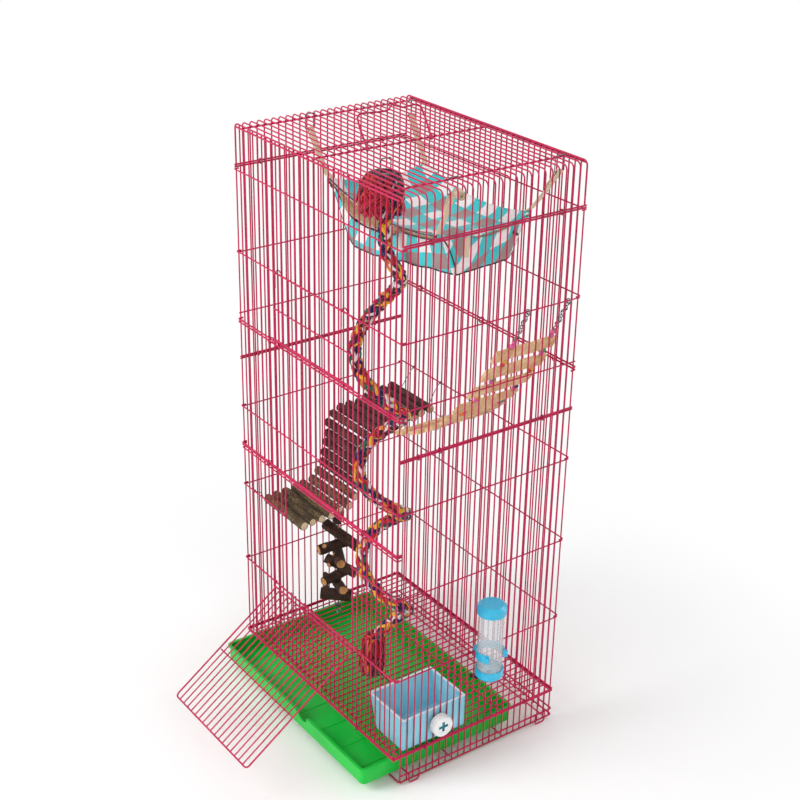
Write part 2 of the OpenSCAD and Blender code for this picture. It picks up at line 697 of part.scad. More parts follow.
// Bead number b of row k: 0 sits before the route point, 1 after it
module bead(k, y, b) {
    u = b == 0 ? (k == 0 ? unit(row[0] - row[1]) : unit(row[k - 1] - row[k])) :
        (k == 8 ? unit(row[8] - row[7]) : unit(row[k + 1] - row[k]));
    c = row[k] + (bead_d / 2 + 0.15) * u;
    a = atan2(u[1], u[0]);
    translate([c[0], y, c[1]]) rotate([0, 90 - a, 0]) rotate_extrude() intersection() {
        circle(d = bead_d);
        translate([cord_d / 2 + 0.3, -bead_d]) square([bead_d, 2 * bead_d]);
    }
}
module bead_set(list) {
    for (b = list) bead(b[0], row_y[b[1]], b[2]);
}
module beads_pink() {
    color("#f070b0") translate(shift) bead_set([[0, 0, 0], [0, 0, 1], [0, 1, 0], [0, 1, 1], [1, 1, 1],
        [2, 0, 1], [3, 0, 1], [3, 1, 1],
        [4, 1, 1], [5, 0, 0], [5, 0, 1], [7, 0, 0], [7, 0, 1]]);
}
module beads_yellow() {
    color("#f4c020") translate(shift) bead_set([[1, 0, 0], [2, 1, 0], [3, 0, 0], [5, 1, 0], [8, 0, 0]]);
}
module beads_red() {
    color("#d8202c") translate(shift) bead_set([[1, 0, 1], [2, 1, 1], [6, 1, 1]]);
}
module beads_green() {
    color("#18a860") translate(shift) bead_set([[1, 1, 0], [2, 0, 0], [4, 1, 0], [7, 1, 0]]);
}
module beads_navy() {
    color("#302878") translate(shift) bead_set([[3, 1, 0], [7, 1, 1], [6, 1, 0]]);
}
module beads_cyan() {
    color("#30b0c8") translate(shift) bead_set([[6, 0, 0], [6, 0, 1], [5, 1, 1], [8, 1, 0]]);
}
module beads_orange() {
    color("#f08020") translate(shift) bead_set([[4, 0, 0], [4, 0, 1]]);
}
module plank_cords() {
    u = unit(row[0] - row[1]);
    s = row[0] + (bead_d - 0.2) * u;
    color("#c8b088") translate(shift) for (n = [0, 1]) {
        k = cord_log[n];
        y = row_y[n];
        e = [log_x + log_len / 2 + log_off(k) + 1.1, log_c[k][0], log_c[k][1]];
        q = row[8] + 1.6 * unit(row[8] - row[7]);
        tube(concat([[s[0], y, s[1]]], [for (p = row) [p[0], y, p[1]]], [[q[0], y, q[1]]], [e]),
            cord_d, 8, [0, 1, 0.02]);
    }
}
// Chains from the right wall's ring down to the first bead pair
link_r = 4.4;
link_d = 1.6;
module plank_chains() {
    r = 4.2;
    hang = r - 0.9 - rm - 0.2;
    color("#9aa0a4") translate(shift) for (n = [0, 1]) {
        y = row_y[n];
        yc = n == 0 ? wy(17.5) : wy(23.5);
        ub = unit(row[0] - row[1]);
        bc = [row[0][0] + (bead_d / 2 + 0.15) * ub[0], y, row[0][1] + (bead_d / 2 + 0.15) * ub[1]];
        top = [xp + om, yc, ring4_z - side_drop];
        u = unit(bc - top);
        first = hang + r - 0.9 - link_d / 2 - 0.15 + link_r;
        last = norm(bc - top) - bead_d / 2 - 0.3 - link_r - link_d / 2;
        n_links = ceil((last - first) / (2 * link_r - link_d - 0.15));
        yring(top[0] + hang * u[0], top[1], top[2] + hang * u[2], r, 1.8);
        for (i = [0:n_links]) {
            c = top + mix(first, last, i / n_links) * u;
            translate(c) rotate([0, acos(u[2]), atan2(u[1], u[0])])
                rotate([90, 0, i % 2 == 0 ? 90 : 0]) arc(link_r, link_d);
        }
    }
}

// Spiral rope perch: straight at the top, then a left-handed spiral that widens out
rope_x = 62;
rope_y = wy(6.5);
rope_head = 922;
rope_top = 892;
rope_end = 140;
stub = 8;
cam_r = [0.59, 0.807, 0];
cam_b = [-0.807, 0.59, 0];
rope_n = 78;
rope_len_z = rope_top - rope_end;
// Turns of the spiral counted from the level z = 824, slower in the upper part
function turns(z) = (824 - z) / 201.7 - (z > 344 ? 0.19 * sin(180 * (824 - z) / 480) : 0);
// The last stretch turns more slowly
function ease(q) = 0.75 * q;
function rope_pt(s) = let (z = rope_top - rope_len_z * s, q = max(0, (s - 0.93) / 0.07),
    zt = q > 0 ? rope_top - rope_len_z * (0.93 + 0.07 * ease(q)) : z,
    f = 360 * turns(zt), w = min(1, (rope_top - z) / 90), g = w * w * (3 - 2 * w),
    drift = (-13 + 25 * s) * g)
    [rope_x, rope_y, z] + cam_r * (drift + rope_r * g * cos(f)) + cam_b * (rope_r * g * sin(f));
rope_route = concat([[rope_x, rope_y, rope_head + 5]], [for (i = [0:rope_n]) rope_pt(i / rope_n)],
    [rope_pt(1) - [0, 0, stub]]);
rope_last = len(rope_route) - 1;
rope_gap = min([for (i = [0:rope_last - 12], j = [i + 12:rope_last])
    norm(rope_route[i] - rope_route[j])]) - rope_d;
module rope_perch() {
    echo("least distance between neighbouring rope turns", rope_gap);
    color("#b03030") translate(shift) tube(rope_route, rope_d, 12, [1, 0.3, 0]);
}

// Steel hook over the roof wires that carries the rope, with a ring and a screw eye
hang_y = wy(6.5);
module rope_hook() {
    z = top_z + rm + 0.9 + 0.1;
    color("#9aa0a4") translate(shift) {
        for (t = [-1, 1]) {
            translate([rope_x, hang_y + t * 7.6, z - 1.5]) rotate([90, 0, 90])
                rotate([0, 0, t > 0 ? 0 : 90]) arc(1.5, 1.8, 90);
            zwire(z - 26, z - 1.5, rope_x, hang_y + t * 9.1, 1.8);
        }
        translate([rope_x, hang_y - 7.6, z]) rotate([-90, 0, 0]) cylinder(h = 15.2, d = 1.8);
        translate([rope_x, hang_y, z - 26]) rotate([-90, 0, 90]) arc(9.1, 1.8, 180);
    }
}
// Split ring, screw eye and the collar that bears on the rope's upper sleeve
ring_z = top_z + rm + 1 - 26 - 9.1 + 2.3 - 7.4;
module rope_ring() {
    color("#b8bcc0") translate(shift) {
        translate([rope_x, hang_y, ring_z]) rotate([90, 0, 0]) arc(7.4, 2.2);
        translate([rope_x, hang_y, ring_z - 9.9]) rotate([90, 0, 90]) arc(5, 2.2);
        translate([rope_x, hang_y, rope_head + 6]) cylinder(h = ring_z - 15 - rope_head - 6, d = 4);
        translate([rope_x, hang_y, rope_head + 14.3]) cylinder(h = 3, d = 9);
    }
}
// Metal sleeves that close both rope ends
module rope_caps() {
    a = rope_route[0];
    b = rope_route[rope_last];
    color("#3a3a3c") translate(shift) {
        translate(a + [0, 0, -12]) difference() {
            cylinder(h = 21, d = rope_d + 5);
            translate([0, 0, -1]) cylinder(h = 13.3, d = rope_d + 2.2);
            cylinder(h = 40, d = 4.6);
        }
        translate(b + [0, 0, -2]) difference() {
            cylinder(h = 6, d = rope_d + 4);
            translate([0, 0, 1.7]) cylinder(h = 12, d = rope_d + 1.6);
        }
    }
}
// Loose ends of the rope yarns, as one lobed brush
module tassel(r0, r1, h, lobes, sides) {
    rings = 8;
    pts = [for (i = [0:rings], k = [0:sides - 1])
        let (t = i / rings, a = 360 * k / sides,
            r = (r0 + (r1 - r0) * sin(90 * min(1, 1.4 * t))) * (1 + 0.14 * sin(lobes * a + 12 * i)))
        [r * cos(a), r * sin(a), -h * t]];
    f1 = [for (i = [0:rings - 1], k = [0:sides - 1])
        [i * sides + k, i * sides + (k + 1) % sides, (i + 1) * sides + k]];
    f2 = [for (i = [0:rings - 1], k = [0:sides - 1])
        [i * sides + (k + 1) % sides, (i + 1) * sides + (k + 1) % sides, (i + 1) * sides + k]];
    polyhedron(points = pts, faces = concat(f1, f2, [[for (k = [sides - 1:-1:0]) k]],
        [[for (k = [0:sides - 1]) rings * sides + k]]));
}
module tassel_top() {
    color("#a8242c") translate(shift) translate([rope_x, hang_y, rope_head]) difference() {
        translate([0, 0, 62]) tassel(15, 38, 62, 5, 24);
        translate([0, 0, -1]) cylinder(h = 15.3, d = rope_d + 5.6);
        translate([0, 0, 14]) cylinder(h = 3.6, d = 9.6);
        translate([0, 0, 16]) cylinder(h = 10, d = 4.6);
        translate([0, 0, 24]) cylinder(h = 40, d = 22);
    }
}
module tassel_bottom() {
    b = rope_route[rope_last];
    color("#a8242c") translate(shift) translate(b + [0, 0, -2.3]) tassel(10, 24, 69, 4, 20);
}

// Hammock: cloth bed on four straps, with a second layer below that makes a pocket
ham_c = [[-160, -37], [-140, 144], [150, 128], [165, -60]];
ham_hi = 912;
function mix(a, b, t) = a + (b - a) * t;
function ham_xy(u, v) = mix(mix(ham_c[0], ham_c[3], u), mix(ham_c[1], ham_c[2], u), v);
function ham_in(u, v) = pow(16 * u * (1 - u) * v * (1 - v), 0.55);
function ham_z(u, v, sag) = ham_hi - 34 * 4 * u * (1 - u) * (1 - ham_in(u, v)) * 0.6
    - 26 * 4 * v * (1 - v) * (1 - ham_in(u, v)) * 0.6 - sag * ham_in(u, v)
    + 2.6 * sin(540 * u + 120 * v) * ham_in(u, v) + 2 * sin(700 * v) * ham_in(u, v);
// The pocket layer follows the bed's rim and hangs deeper, steepest at the front and right
function soft(t) = let (c = max(0, min(1, t))) c * c * (3 - 2 * c);
function pocket_z(u, v, sag, deep) = min(ham_z(u, v, sag) - bed_t - 0.3,
    ham_hi - deep * soft((1 - u) / 0.16) * soft(u / 0.4) * soft((v + 0.06) / 0.14) * soft((1 - v) / 0.5));
bed_t = 4;
module cloth(sag, deep, t, n) {
    m = n + 1;
    top = [for (i = [0:n], j = [0:n]) let (u = i / n, v = j / n, p = ham_xy(u, v))
        [p[0], p[1], deep > 0 ? pocket_z(u, v, sag, deep) : ham_z(u, v, sag)]];
    low = [for (p = top) p - [0, 0, t]];
    q = m * m;
    f_top = [for (i = [0:n - 1], j = [0:n - 1]) let (a = i * m + j) [a, a + 1, a + m + 1, a + m]];
    f_low = [for (i = [0:n - 1], j = [0:n - 1]) let (a = q + i * m + j) [a, a + m, a + m + 1, a + 1]];
    e0 = [for (j = [0:n - 1]) [j, q + j, q + j + 1, j + 1]];
    e1 = [for (j = [0:n - 1]) [n * m + j, n * m + j + 1, q + n * m + j + 1, q + n * m + j]];
    e2 = [for (i = [0:n - 1]) [i * m, (i + 1) * m, q + (i + 1) * m, q + i * m]];
    e3 = [for (i = [0:n - 1]) [i * m + n, q + i * m + n, q + (i + 1) * m + n, (i + 1) * m + n]];
    polyhedron(points = concat(top, low), faces = concat(f_top, f_low, e0, e1, e2, e3));
}
module hammock_cloth() {
    color("#49c9c4") translate(shift) cloth(46, 0, bed_t, 20);
}
module hammock_pocket() {
    color("#3fb4b0") translate(shift) cloth(46, 84, 2.4, 20);
}
// Webbing straps from the corners to the roof, each a flat band
anchor = [[-207, -37], [-187, 147], [189, 147], [189, -60]];
function anchor_y(k) = wy(round((anchor[k][1] + yp) / pitch - 0.5) + 0.5);
module strap(k) {
    a = [ham_c[k][0], ham_c[k][1], ham_hi + 0.9];
    b = [anchor[k][0], anchor_y(k), top_z - 23.9];
    v = b - a;
    l = norm(v);
    translate(a) rotate([0, acos(v[2] / l), atan2(v[1], v[0])]) translate([-0.8, -8, 0]) cube([1.6, 16, l]);
}
module hammock_straps() {
    color("#e8dcc0") translate(shift) for (k = [0:3]) strap(k);
}
module hammock_clips() {
    color("#b8bcc0") translate(shift) for (k = [0:3]) {
        x = anchor[k][0];
        y = anchor_y(k);
        z = top_z + rm + 0.1 + 0.8;
        b = [x, y, top_z - 26];
        for (t = [-1, 1]) {
            translate([x, y + t * 7.6, z - 1.5]) rotate([90, 0, 90]) rotate([0, 0, t > 0 ? 0 : 90])
                arc(1.5, 1.6, 90);
            zwire(top_z - 22, z - 1.5, x, y + t * 9.1, 1.6);
        }
        translate([x, y - 7.6, z]) rotate([-90, 0, 0]) cylinder(h = 15.2, d = 1.6);
        translate([x, y - 9.1, top_z - 22.6]) rotate([-90, 0, 0]) cylinder(h = 18.2, d = 1.6);
    }
}

// Chew toy: bark chunks threaded on a cord, hooked over the log bridge's inner wire
chew_top = (log_c[14] + log_c[15]) / 2;
chew_x = wire_x[1];
chew_y = chew_top[0] - 0.51;
chew_z = chew_top[1];
chew_end = 124.5;
// Each chunk: side offset, length, diameter, lean from upright, heading, level below the hook
chew = [
    [0, 24, 18, 16, 20, 25.5],
    [8, 78, 20, 108, 20, 58.7],
    [-8, 60, 20, 84, 80, 81.3],
    [-10, 72, 19, 98, 152, 101.9],
    [6, 62, 19, 106, 30, 123.3],
    [-4, 60, 19, 86, 96, 144.1],
    [12, 52, 19, 76, -20, 164.7],
    [-4, 56, 22, 92, 50, 186.7]];
module chunk(k) {
    c = chew[k];
    translate([chew_x, chew_y, chew_z - c[5]]) rotate([0, c[3], c[4]]) difference() {
        translate([0, 0, c[0]]) {
            cylinder(h = c[1] - 3, d = c[2], center = true);
            for (e = [-1, 1]) translate([0, 0, e * (c[1] / 2 - 0.75)]) rotate([0, e < 0 ? 180 : 0, 0])
                translate([0, 0, -0.76]) cylinder(h = 1.51, d1 = c[2], d2 = c[2] - 3);
        }
        rotate([0, -c[3], 0]) cylinder(h = 90, d = 3.2, center = true);
    }
}
module chew_logs() {
    color("#3c2a20") translate(shift) for (k = [0:7]) chunk(k);
}
module chew_cord() {
    color("#7a6040") translate(shift) {
        tube([for (i = [0:8]) [chew_x, chew_y, mix(chew_z - 9, chew_end, i / 8)]], 2.6, 8, [1, 0.02, 0.03]);
    }
}
module chew_nut() {
    color("#c9ced2") translate(shift) {
        yring(chew_x, chew_y, chew_z, 2.6, 1.6);
        zwire(chew_z - 8.7, chew_z - 2.8, chew_x, chew_y, 1.6);
        translate([chew_x, chew_y, chew_end + 1]) difference() {
            cylinder(h = 5, d = 11, $fn = 6);
            translate([0, 0, -1]) cylinder(h = 8, d = 3.2);
        }
    }
}
module chew_loop() {
    color("#c9ced2") translate(shift) translate([chew_x, chew_y, chew_end - 0.3 - 7.9])
        rotate([90, 0, 0]) arc(7, 1.8);
}

base_frame();
foot_loops();
floor_grid();
front_lower_panel();
front_middle_panel();
front_upper_panel();
rear_lower_panel();
rear_upper_panel();
left_lower_panel();
left_upper_panel();
right_lower_panel();
right_upper_panel();
top_panel();
roof_skirt();
panel_clips();
upper_door();
lower_door();
carry_handle();
tray();
feeder_box();
feeder_knob();
feeder_plate();
bottle_body();
bottle_cap();
bottle_base();
bottle_spout();
bottle_ball();
bottle_clip();
logs_upper();
logs_middle();
logs_lower();
log_wires();
log_hooks();
planks();
beads_pink();
beads_yellow();
beads_red();
beads_green();
beads_navy();
beads_cyan();
beads_orange();
plank_cords();
plank_chains();
rope_perch();
rope_hook();
rope_ring();
rope_caps();
tassel_top();
tassel_bottom();
hammock_cloth();
hammock_pocket();
hammock_straps();
hammock_clips();
chew_logs();
chew_cord();
chew_nut();
chew_loop();
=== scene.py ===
import math
import random
import bpy
import numpy as np
from mathutils import Matrix, Vector, noise


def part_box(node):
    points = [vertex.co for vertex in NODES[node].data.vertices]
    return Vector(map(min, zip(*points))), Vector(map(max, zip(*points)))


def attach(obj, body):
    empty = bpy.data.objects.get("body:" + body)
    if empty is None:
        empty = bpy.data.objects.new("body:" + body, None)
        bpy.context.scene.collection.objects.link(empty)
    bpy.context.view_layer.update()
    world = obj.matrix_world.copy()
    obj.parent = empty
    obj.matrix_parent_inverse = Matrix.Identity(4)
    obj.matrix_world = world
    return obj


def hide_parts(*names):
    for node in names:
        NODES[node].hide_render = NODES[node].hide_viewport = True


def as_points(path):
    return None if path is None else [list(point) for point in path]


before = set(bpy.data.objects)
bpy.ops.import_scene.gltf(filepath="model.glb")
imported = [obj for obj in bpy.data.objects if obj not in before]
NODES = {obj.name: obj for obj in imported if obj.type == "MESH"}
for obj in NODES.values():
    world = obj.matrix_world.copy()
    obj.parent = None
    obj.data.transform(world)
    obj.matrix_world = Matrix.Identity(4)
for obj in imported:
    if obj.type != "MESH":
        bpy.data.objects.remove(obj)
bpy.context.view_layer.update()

SHIFT = Vector((-0.0226, 0.1016, 0.0059))
UP = Vector((0, 0, 1))


def P(x, y, z):
    """Millimetres from the middle of the cage body to metres in the frame."""
    return Vector((x, y, z)) / 1000 + SHIFT


def lerp(a, b, t):
    return a + (b - a) * t


def smooth(t):
    """From 0 to 1 with a soft start and a soft end."""
    t = max(0.0, min(1.0, t))
    return t * t * (3 - 2 * t)


def around(s, u, a):
    """The direction at angle a in the plane of the directions s and u."""
    return s * math.cos(a) + u * math.sin(a)


# Camera: the photograph's own angle, place and lens
AZ, EL, ROLL = math.radians(53.86), math.radians(25.57), math.radians(1.055)
EYE = P(1848, -1351, 1661)
LENS, SENSOR, FARTHEST = 69.18, 36, 60


def add_camera():
    ahead = Vector((-math.sin(AZ) * math.cos(EL), math.cos(AZ) * math.cos(EL), -math.sin(EL)))
    side = Vector((math.cos(AZ), math.sin(AZ), 0))
    up = side.cross(ahead)
    cam_x = side * math.cos(ROLL) + up * math.sin(ROLL)
    cam_y = -side * math.sin(ROLL) + up * math.cos(ROLL)
    cam = bpy.data.objects.new("camera", bpy.data.cameras.new("camera"))
    cam.data.lens = LENS
    cam.data.sensor_width = SENSOR
    cam.data.clip_end = FARTHEST
    turn = Matrix((cam_x, cam_y, -ahead)).transposed().to_4x4()
    cam.matrix_world = Matrix.Translation(EYE) @ turn
    bpy.context.scene.collection.objects.link(cam)
    bpy.context.scene.camera = cam


add_camera()


# Materials
def hexc(c):
    """A written colour such as #cb1455 as linear red, green and blue, and alpha 1."""
    v = [int(c[i:i + 2], 16) / 255 for i in (1, 3, 5)]
    return tuple(x / 12.92 if x <= 0.04045 else ((x + 0.055) / 1.055) ** 2.4 for x in v) + (1.0,)


def shade(c, k):
    """A written colour, darker or lighter by the factor k."""
    parts = (int(int(c[i:i + 2], 16) * k) for i in (1, 3, 5))
    return "#" + "".join("%02x" % max(0, min(255, v)) for v in parts)


class Mat:
    """A small builder of node materials around one Principled shader."""

    def __init__(self, name, **values):
        self.material = bpy.data.materials.new(name)
        self.material.use_nodes = True
        self.tree = self.material.node_tree
        self.shader = self.tree.nodes["Principled BSDF"]
        for k, v in values.items():
            self.put(self.shader, k, v)
        self.xyz = self.node("TexCoord").outputs["Object"]

    def put(self, node, key, v):
        """Set an input, or link it when v is another node's output."""
        s = node.inputs[key] if isinstance(key, int) else node.inputs[key.replace("_", " ")]
        if isinstance(v, bpy.types.NodeSocket):
            self.tree.links.new(v, s)
        else:
            s.default_value = v

    def node(self, kind, props=None, **inputs):
        node = self.tree.nodes.new("ShaderNode" + kind)
        for k, v in (props or {}).items():
            setattr(node, k, v)
        for k, v in inputs.items():
            self.put(node, k, v)
        return node

    def math(self, op, a, b=0.0):
        node = self.node("Math", {"operation": op})
        self.put(node, 0, a)
        self.put(node, 1, b)
        return node.outputs[0]

    def weighted(self, a, share_a, b, share_b):
        return self.math("ADD", self.math("MULTIPLY", a, share_a), self.math("MULTIPLY", b, share_b))

    def fit(self, value, **span):
        return self.node("MapRange", Value=value, **span).outputs[0]

    def ramp(self, fac, stops):
        node = self.node("ValToRGB", Fac=fac)
        e = node.color_ramp.elements
        while len(e) < len(stops):
            e.new(0.5)
        for i, (place, colour) in enumerate(stops):
            e[i].position = place
            e[i].color = hexc(colour)
        return node.outputs["Color"]

    def mix(self, fac, a, b, blend="MIX"):
        node = self.node("Mix", {"data_type": "RGBA", "blend_type": blend})
        for i, v in ((0, fac), (6, a), (7, b)):
            self.put(node, i, v)
        return node.outputs[2]

    def dimmed(self, colour, value):
        """The colour times a grey value."""
        grey = self.node("CombineColor", Red=value, Green=value, Blue=value).outputs[0]
        return self.mix(1.0, colour, grey, "MULTIPLY")

    def scaled(self, v, src=None):
        return self.node("Mapping", Vector=src or self.xyz, Scale=v).outputs[0]

    def noise(self, scale, detail, rough=0.5, src=None):
        node = self.node("TexNoise", Vector=src or self.xyz, Scale=scale, Detail=detail, Roughness=rough)
        return node.outputs["Fac"]

    def bands(self, src, scale, bent=0.0):
        props = {"wave_type": "BANDS", "bands_direction": "DIAGONAL"}
        return self.node("TexWave", props, Vector=src, Scale=scale, Distortion=bent).outputs["Fac"]

    def bump(self, height, strength, dist):
        node = self.node("Bump", Height=height, Strength=strength, Distance=dist)
        self.put(self.shader, "Normal", node.outputs[0])

    def base(self, v):
        self.put(self.shader, "Base_Color", v)

    def base_now(self):
        return self.shader.inputs["Base Color"].links[0].from_socket

    def rough(self, v):
        self.put(self.shader, "Roughness", v)


def plain(name, dark, light, rough, scale, peel, peel_scale, **values):
    """Moulded or painted surface: a slow change of colour and gloss, and a fine peel."""
    m = Mat(name, **values)
    slow = m.noise(scale, 4)
    m.base(m.ramp(slow, [(0.3, dark), (0.7, light)]))
    m.rough(m.fit(slow, To_Min=rough[0], To_Max=rough[1]))
    m.bump(m.noise(peel_scale, 2), peel, 0.0002)
    return m


def box_material():
    """Clear blue feeder plastic whose top rim is painted whitish: a painted highlight where light catches
    the edge.
    """
    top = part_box("feeder_box")[1][2]
    m = plain("clear_blue_plastic", "#86daf0", "#a8ecfb", (0.1, 0.2), 20, 0.04, 500,
              Transmission_Weight=0.15, IOR=1.35)
    z = m.node("SeparateXYZ", Vector=m.xyz).outputs[2]
    # Painted highlight: the top two millimetres of the box are mixed towards near white.
    rim = m.fit(z, From_Min=top - 0.0022, From_Max=top - 0.001, To_Max=0.85)
    m.base(m.mix(rim, m.base_now(), hexc("#eefbff")))
    return m


RECESS_RADIUS, RECESS_DEPTH = 0.0099, 0.0016


def knob_material():
    """White knob whose cross-shaped recess is painted dark cyan, as painted shade in the recess."""
    lo, hi = (Vector(p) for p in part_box("feeder_knob"))
    axis = min(range(3), key=lambda i: hi[i] - lo[i])
    mid = (lo + hi) / 2
    m = plain("knob_plastic", "#e9eced", "#f7f8f8", (0.28, 0.38), 30, 0.05, 600)
    sep = m.node("SeparateXYZ", Vector=m.xyz).outputs
    squares = [m.math("POWER", m.math("SUBTRACT", sep[i], mid[i]), 2.0) for i in range(3) if i != axis]
    near = m.math("LESS_THAN", m.math("ADD", *squares), RECESS_RADIUS ** 2)
    deep = m.math("LESS_THAN", sep[axis], hi[axis] - RECESS_DEPTH)
    # Painted shade: inside the recess radius and below the recess depth, the colour is dark cyan.
    m.base(m.mix(m.math("MULTIPLY", near, deep), m.base_now(), hexc("#15869b")))
    return m


def wood(name, tones, along, fine=1.0, bump=0.3):
    """Wood with its grain drawn out along one axis."""
    m = Mat(name)

    def stretched(across, length):
        v = [across * fine] * 3
        v["xyz".index(along)] = length * fine
        return m.scaled(v)
    grain = m.noise(1.0, 5, 0.6, stretched(90.0, 6.0))
    broad = m.noise(1.0, 2, 0.5, stretched(26.0, 3.0))
    m.base(m.ramp(m.weighted(grain, 0.6, broad, 0.4), tones))
    m.rough(0.6)
    m.bump(grain, bump, 0.0006)
    return m


def bark_material(name, tones, streak=70):
    """Cracked bark; a lower streak value draws its patches out along the rod."""
    m = Mat(name)
    big = m.noise(1.0, 5, 0.65, m.scaled((streak, 80, 80)))
    crack = m.node("TexVoronoi", {"feature": "DISTANCE_TO_EDGE"},
                   Vector=m.scaled((110, 260, 260)), Scale=1.0).outputs[0]
    open_bark = m.math("ADD", m.math("MULTIPLY", m.fit(crack, From_Max=0.12), 0.45), 0.55)
    f = m.math("MULTIPLY", big, open_bark)
    m.base(m.ramp(f, tones))
    m.rough(0.85)
    m.bump(f, 0.8, 0.0012)
    return m


def yarn_material(name):
    """Cotton whose colour comes from the strand, with fibres along it."""
    m = Mat(name, Sheen_Weight=0.5, Sheen_Roughness=0.4)
    strand = m.node("Attribute", {"attribute_name": "Col"}).outputs["Color"]
    fine = m.noise(900, 4, 0.7)
    slow = m.noise(180, 2)
    dark = m.fit(m.weighted(fine, 0.55, slow, 0.35), From_Min=0.25, From_Max=0.65, To_Min=0.5, To_Max=1.1)
    m.base(m.dimmed(strand, dark))
    m.rough(0.9)
    m.bump(fine, 0.5, 0.0006)
    return m


def web_material(name, dark, light):
    """Woven tape with a diagonal rib."""
    m = Mat(name, Sheen_Weight=0.3)
    rib = m.bands(m.xyz, 230.0, 0.4)
    m.base(m.ramp(m.weighted(rib, 0.6, m.noise(400, 3), 0.4), [(0.25, dark), (0.7, light)]))
    m.rough(0.85)
    m.bump(rib, 0.35, 0.0006)
    return m


CHECK = 0.03      # side of one square of the cloth
EVEN = 400.0      # keeps the count of squares above zero


def cloth_material(name):
    """Check of teal, white and warm grey squares in brushed cotton."""
    m = Mat(name, Sheen_Weight=0.4, Sheen_Roughness=0.5)
    uv = m.node("UVMap", {"uv_map": "UVMap"}).outputs[0]
    sep = m.node("SeparateXYZ", Vector=m.scaled((1 / CHECK, 1 / CHECK, 1), uv)).outputs
    warp, weft = (m.math("MODULO", m.math("ADD", m.math("FLOOR", sep[i]), EVEN), 2.0) for i in (0, 1))
    both = m.math("MULTIPLY", warp, weft)
    one = m.math("SUBTRACT", m.math("MAXIMUM", warp, weft), both)
    c = m.mix(one, hexc("#f8faf8"), hexc("#22d3d6"))
    c = m.mix(both, c, hexc("#9b8d88"))
    soft = m.fit(m.noise(60, 4, 0.6), From_Min=0.3, From_Max=0.7, To_Min=0.93, To_Max=1.04)
    m.base(m.dimmed(c, soft))
    m.rough(0.88)
    weave = m.bands(uv, 420.0)
    m.bump(m.math("ADD", m.math("MULTIPLY", weave, 0.4), m.noise(700, 3)), 0.3, 0.0005)
    return m


M = {
    "wire": plain("pink_enamel", "#ad0843", "#cb1455", (0.3, 0.42), 30, 0.08, 700,
                  Specular_IOR_Level=0.35),
    "steel": plain("bright_steel", "#4f5256", "#8b8f94", (0.18, 0.3), 160, 0.05, 1500, Metallic=1.0),
    "dark_steel": plain("dark_steel", "#1b1b1d", "#343437", (0.3, 0.45), 90, 0.06, 1200, Metallic=0.6),
    "blue": plain("blue_plastic", "#14aeda", "#2cc2ea", (0.16, 0.26), 25, 0.05, 600, Coat_Weight=0.4),
    "white": plain("white_plastic", "#e9eced", "#f7f8f8", (0.28, 0.38), 30, 0.05, 600),
    "tray": plain("green_plastic", "#04b432", "#0ccc44", (0.2, 0.3), 12, 0.03, 500,
                  Specular_IOR_Level=0.3, Coat_Weight=0.08, Coat_Roughness=0.1),
    "clear": plain("clear_plastic", "#e6f2f6", "#f7fcfe", (0.03, 0.08), 20, 0.03, 400,
                   Alpha=0.24, Coat_Weight=1.0),
    "box": box_material(),
    "knob": knob_material(),
    "plank": wood("pale_wood", [(0.3, "#bd915a"), (0.5, "#dfbd88"), (0.7, "#f1dbb0")], "x"),
    "cut_end": wood("cut_end", [(0.3, "#cdb68f"), (0.55, "#e2cfab"), (0.75, "#f0e2c4")], "x", 2.0, 0.2),
    "chew_end": wood("chew_end", [(0.3, "#8a5526"), (0.5, "#b9834b"), (0.72, "#d9ad74")], "z", 1.6, 0.3),
    "bark": bark_material("bark", [(0.18, "#1a100a"), (0.4, "#4a3a26"), (0.66, "#86744a")], 22),
    # A darker, redder copy of the bark: painted shade for the upper and middle logs.
    "shaded_red_bark": bark_material("shaded_red_bark", [(0.2, "#170a08"), (0.44, "#3f231e"), (0.7, "#66443a")], 26),
    "dark_bark": bark_material("dark_bark", [(0.22, "#120805"), (0.45, "#341c11"), (0.68, "#613d26")]),
    "yarn": yarn_material("cotton_yarn"),
    "twine": yarn_material("hemp_twine"),
    "strap": web_material("cream_webbing", "#cfc09a", "#efe4c6"),
    "binding": web_material("dark_binding", "#17120f", "#3a2c24"),
    "toggle": plain("dark_horn", "#120c0a", "#33241d", (0.25, 0.4), 200, 0.1, 900, Coat_Weight=0.4),
    "check": cloth_material("check_cotton"),
    "plush": plain("tan_plush", "#6f6038", "#a8935c", (0.9, 1.0), 260, 0.9, 620, Sheen_Weight=0.8),
}
BEADS = {"pink": "#e2559c", "yellow": "#e6b11e", "red": "#c92027", "green": "#129a57", "navy": "#2a2163",
         "cyan": "#2aa5bf", "orange": "#e1751f"}
for n, c in BEADS.items():
    M["bead_" + n] = plain("bead_" + n, shade(c, 0.86), shade(c, 1.05), (0.3, 0.45), 150, 0.12, 900,
                           Coat_Weight=0.4)

LOOK = {
    "wire": ["base_frame", "foot_loops", "floor_grid", "front_lower_panel", "front_middle_panel",
             "front_upper_panel", "rear_lower_panel", "rear_upper_panel", "left_lower_panel",
             "left_upper_panel", "right_lower_panel", "right_upper_panel", "top_panel", "roof_skirt",
             "panel_clips", "upper_door", "lower_door", "carry_handle"],
    "tray": ["tray"], "box": ["feeder_box"], "blue": ["bottle_cap", "bottle_base", "bottle_clip"],
    "knob": ["feeder_knob"], "white": ["feeder_plate"], "clear": ["bottle_body"],
    "steel": ["bottle_ball", "log_wires", "log_hooks", "plank_chains", "rope_hook", "rope_ring",
              "hammock_clips", "chew_nut", "chew_loop"],
    "dark_steel": ["bottle_spout", "rope_caps"], "plank": ["planks"],
    **{"bead_" + n: ["beads_" + n] for n in BEADS},
}
for key, names in LOOK.items():
    for n in names:
        NODES[n].data.materials.clear()
        NODES[n].data.materials.append(M[key].material)


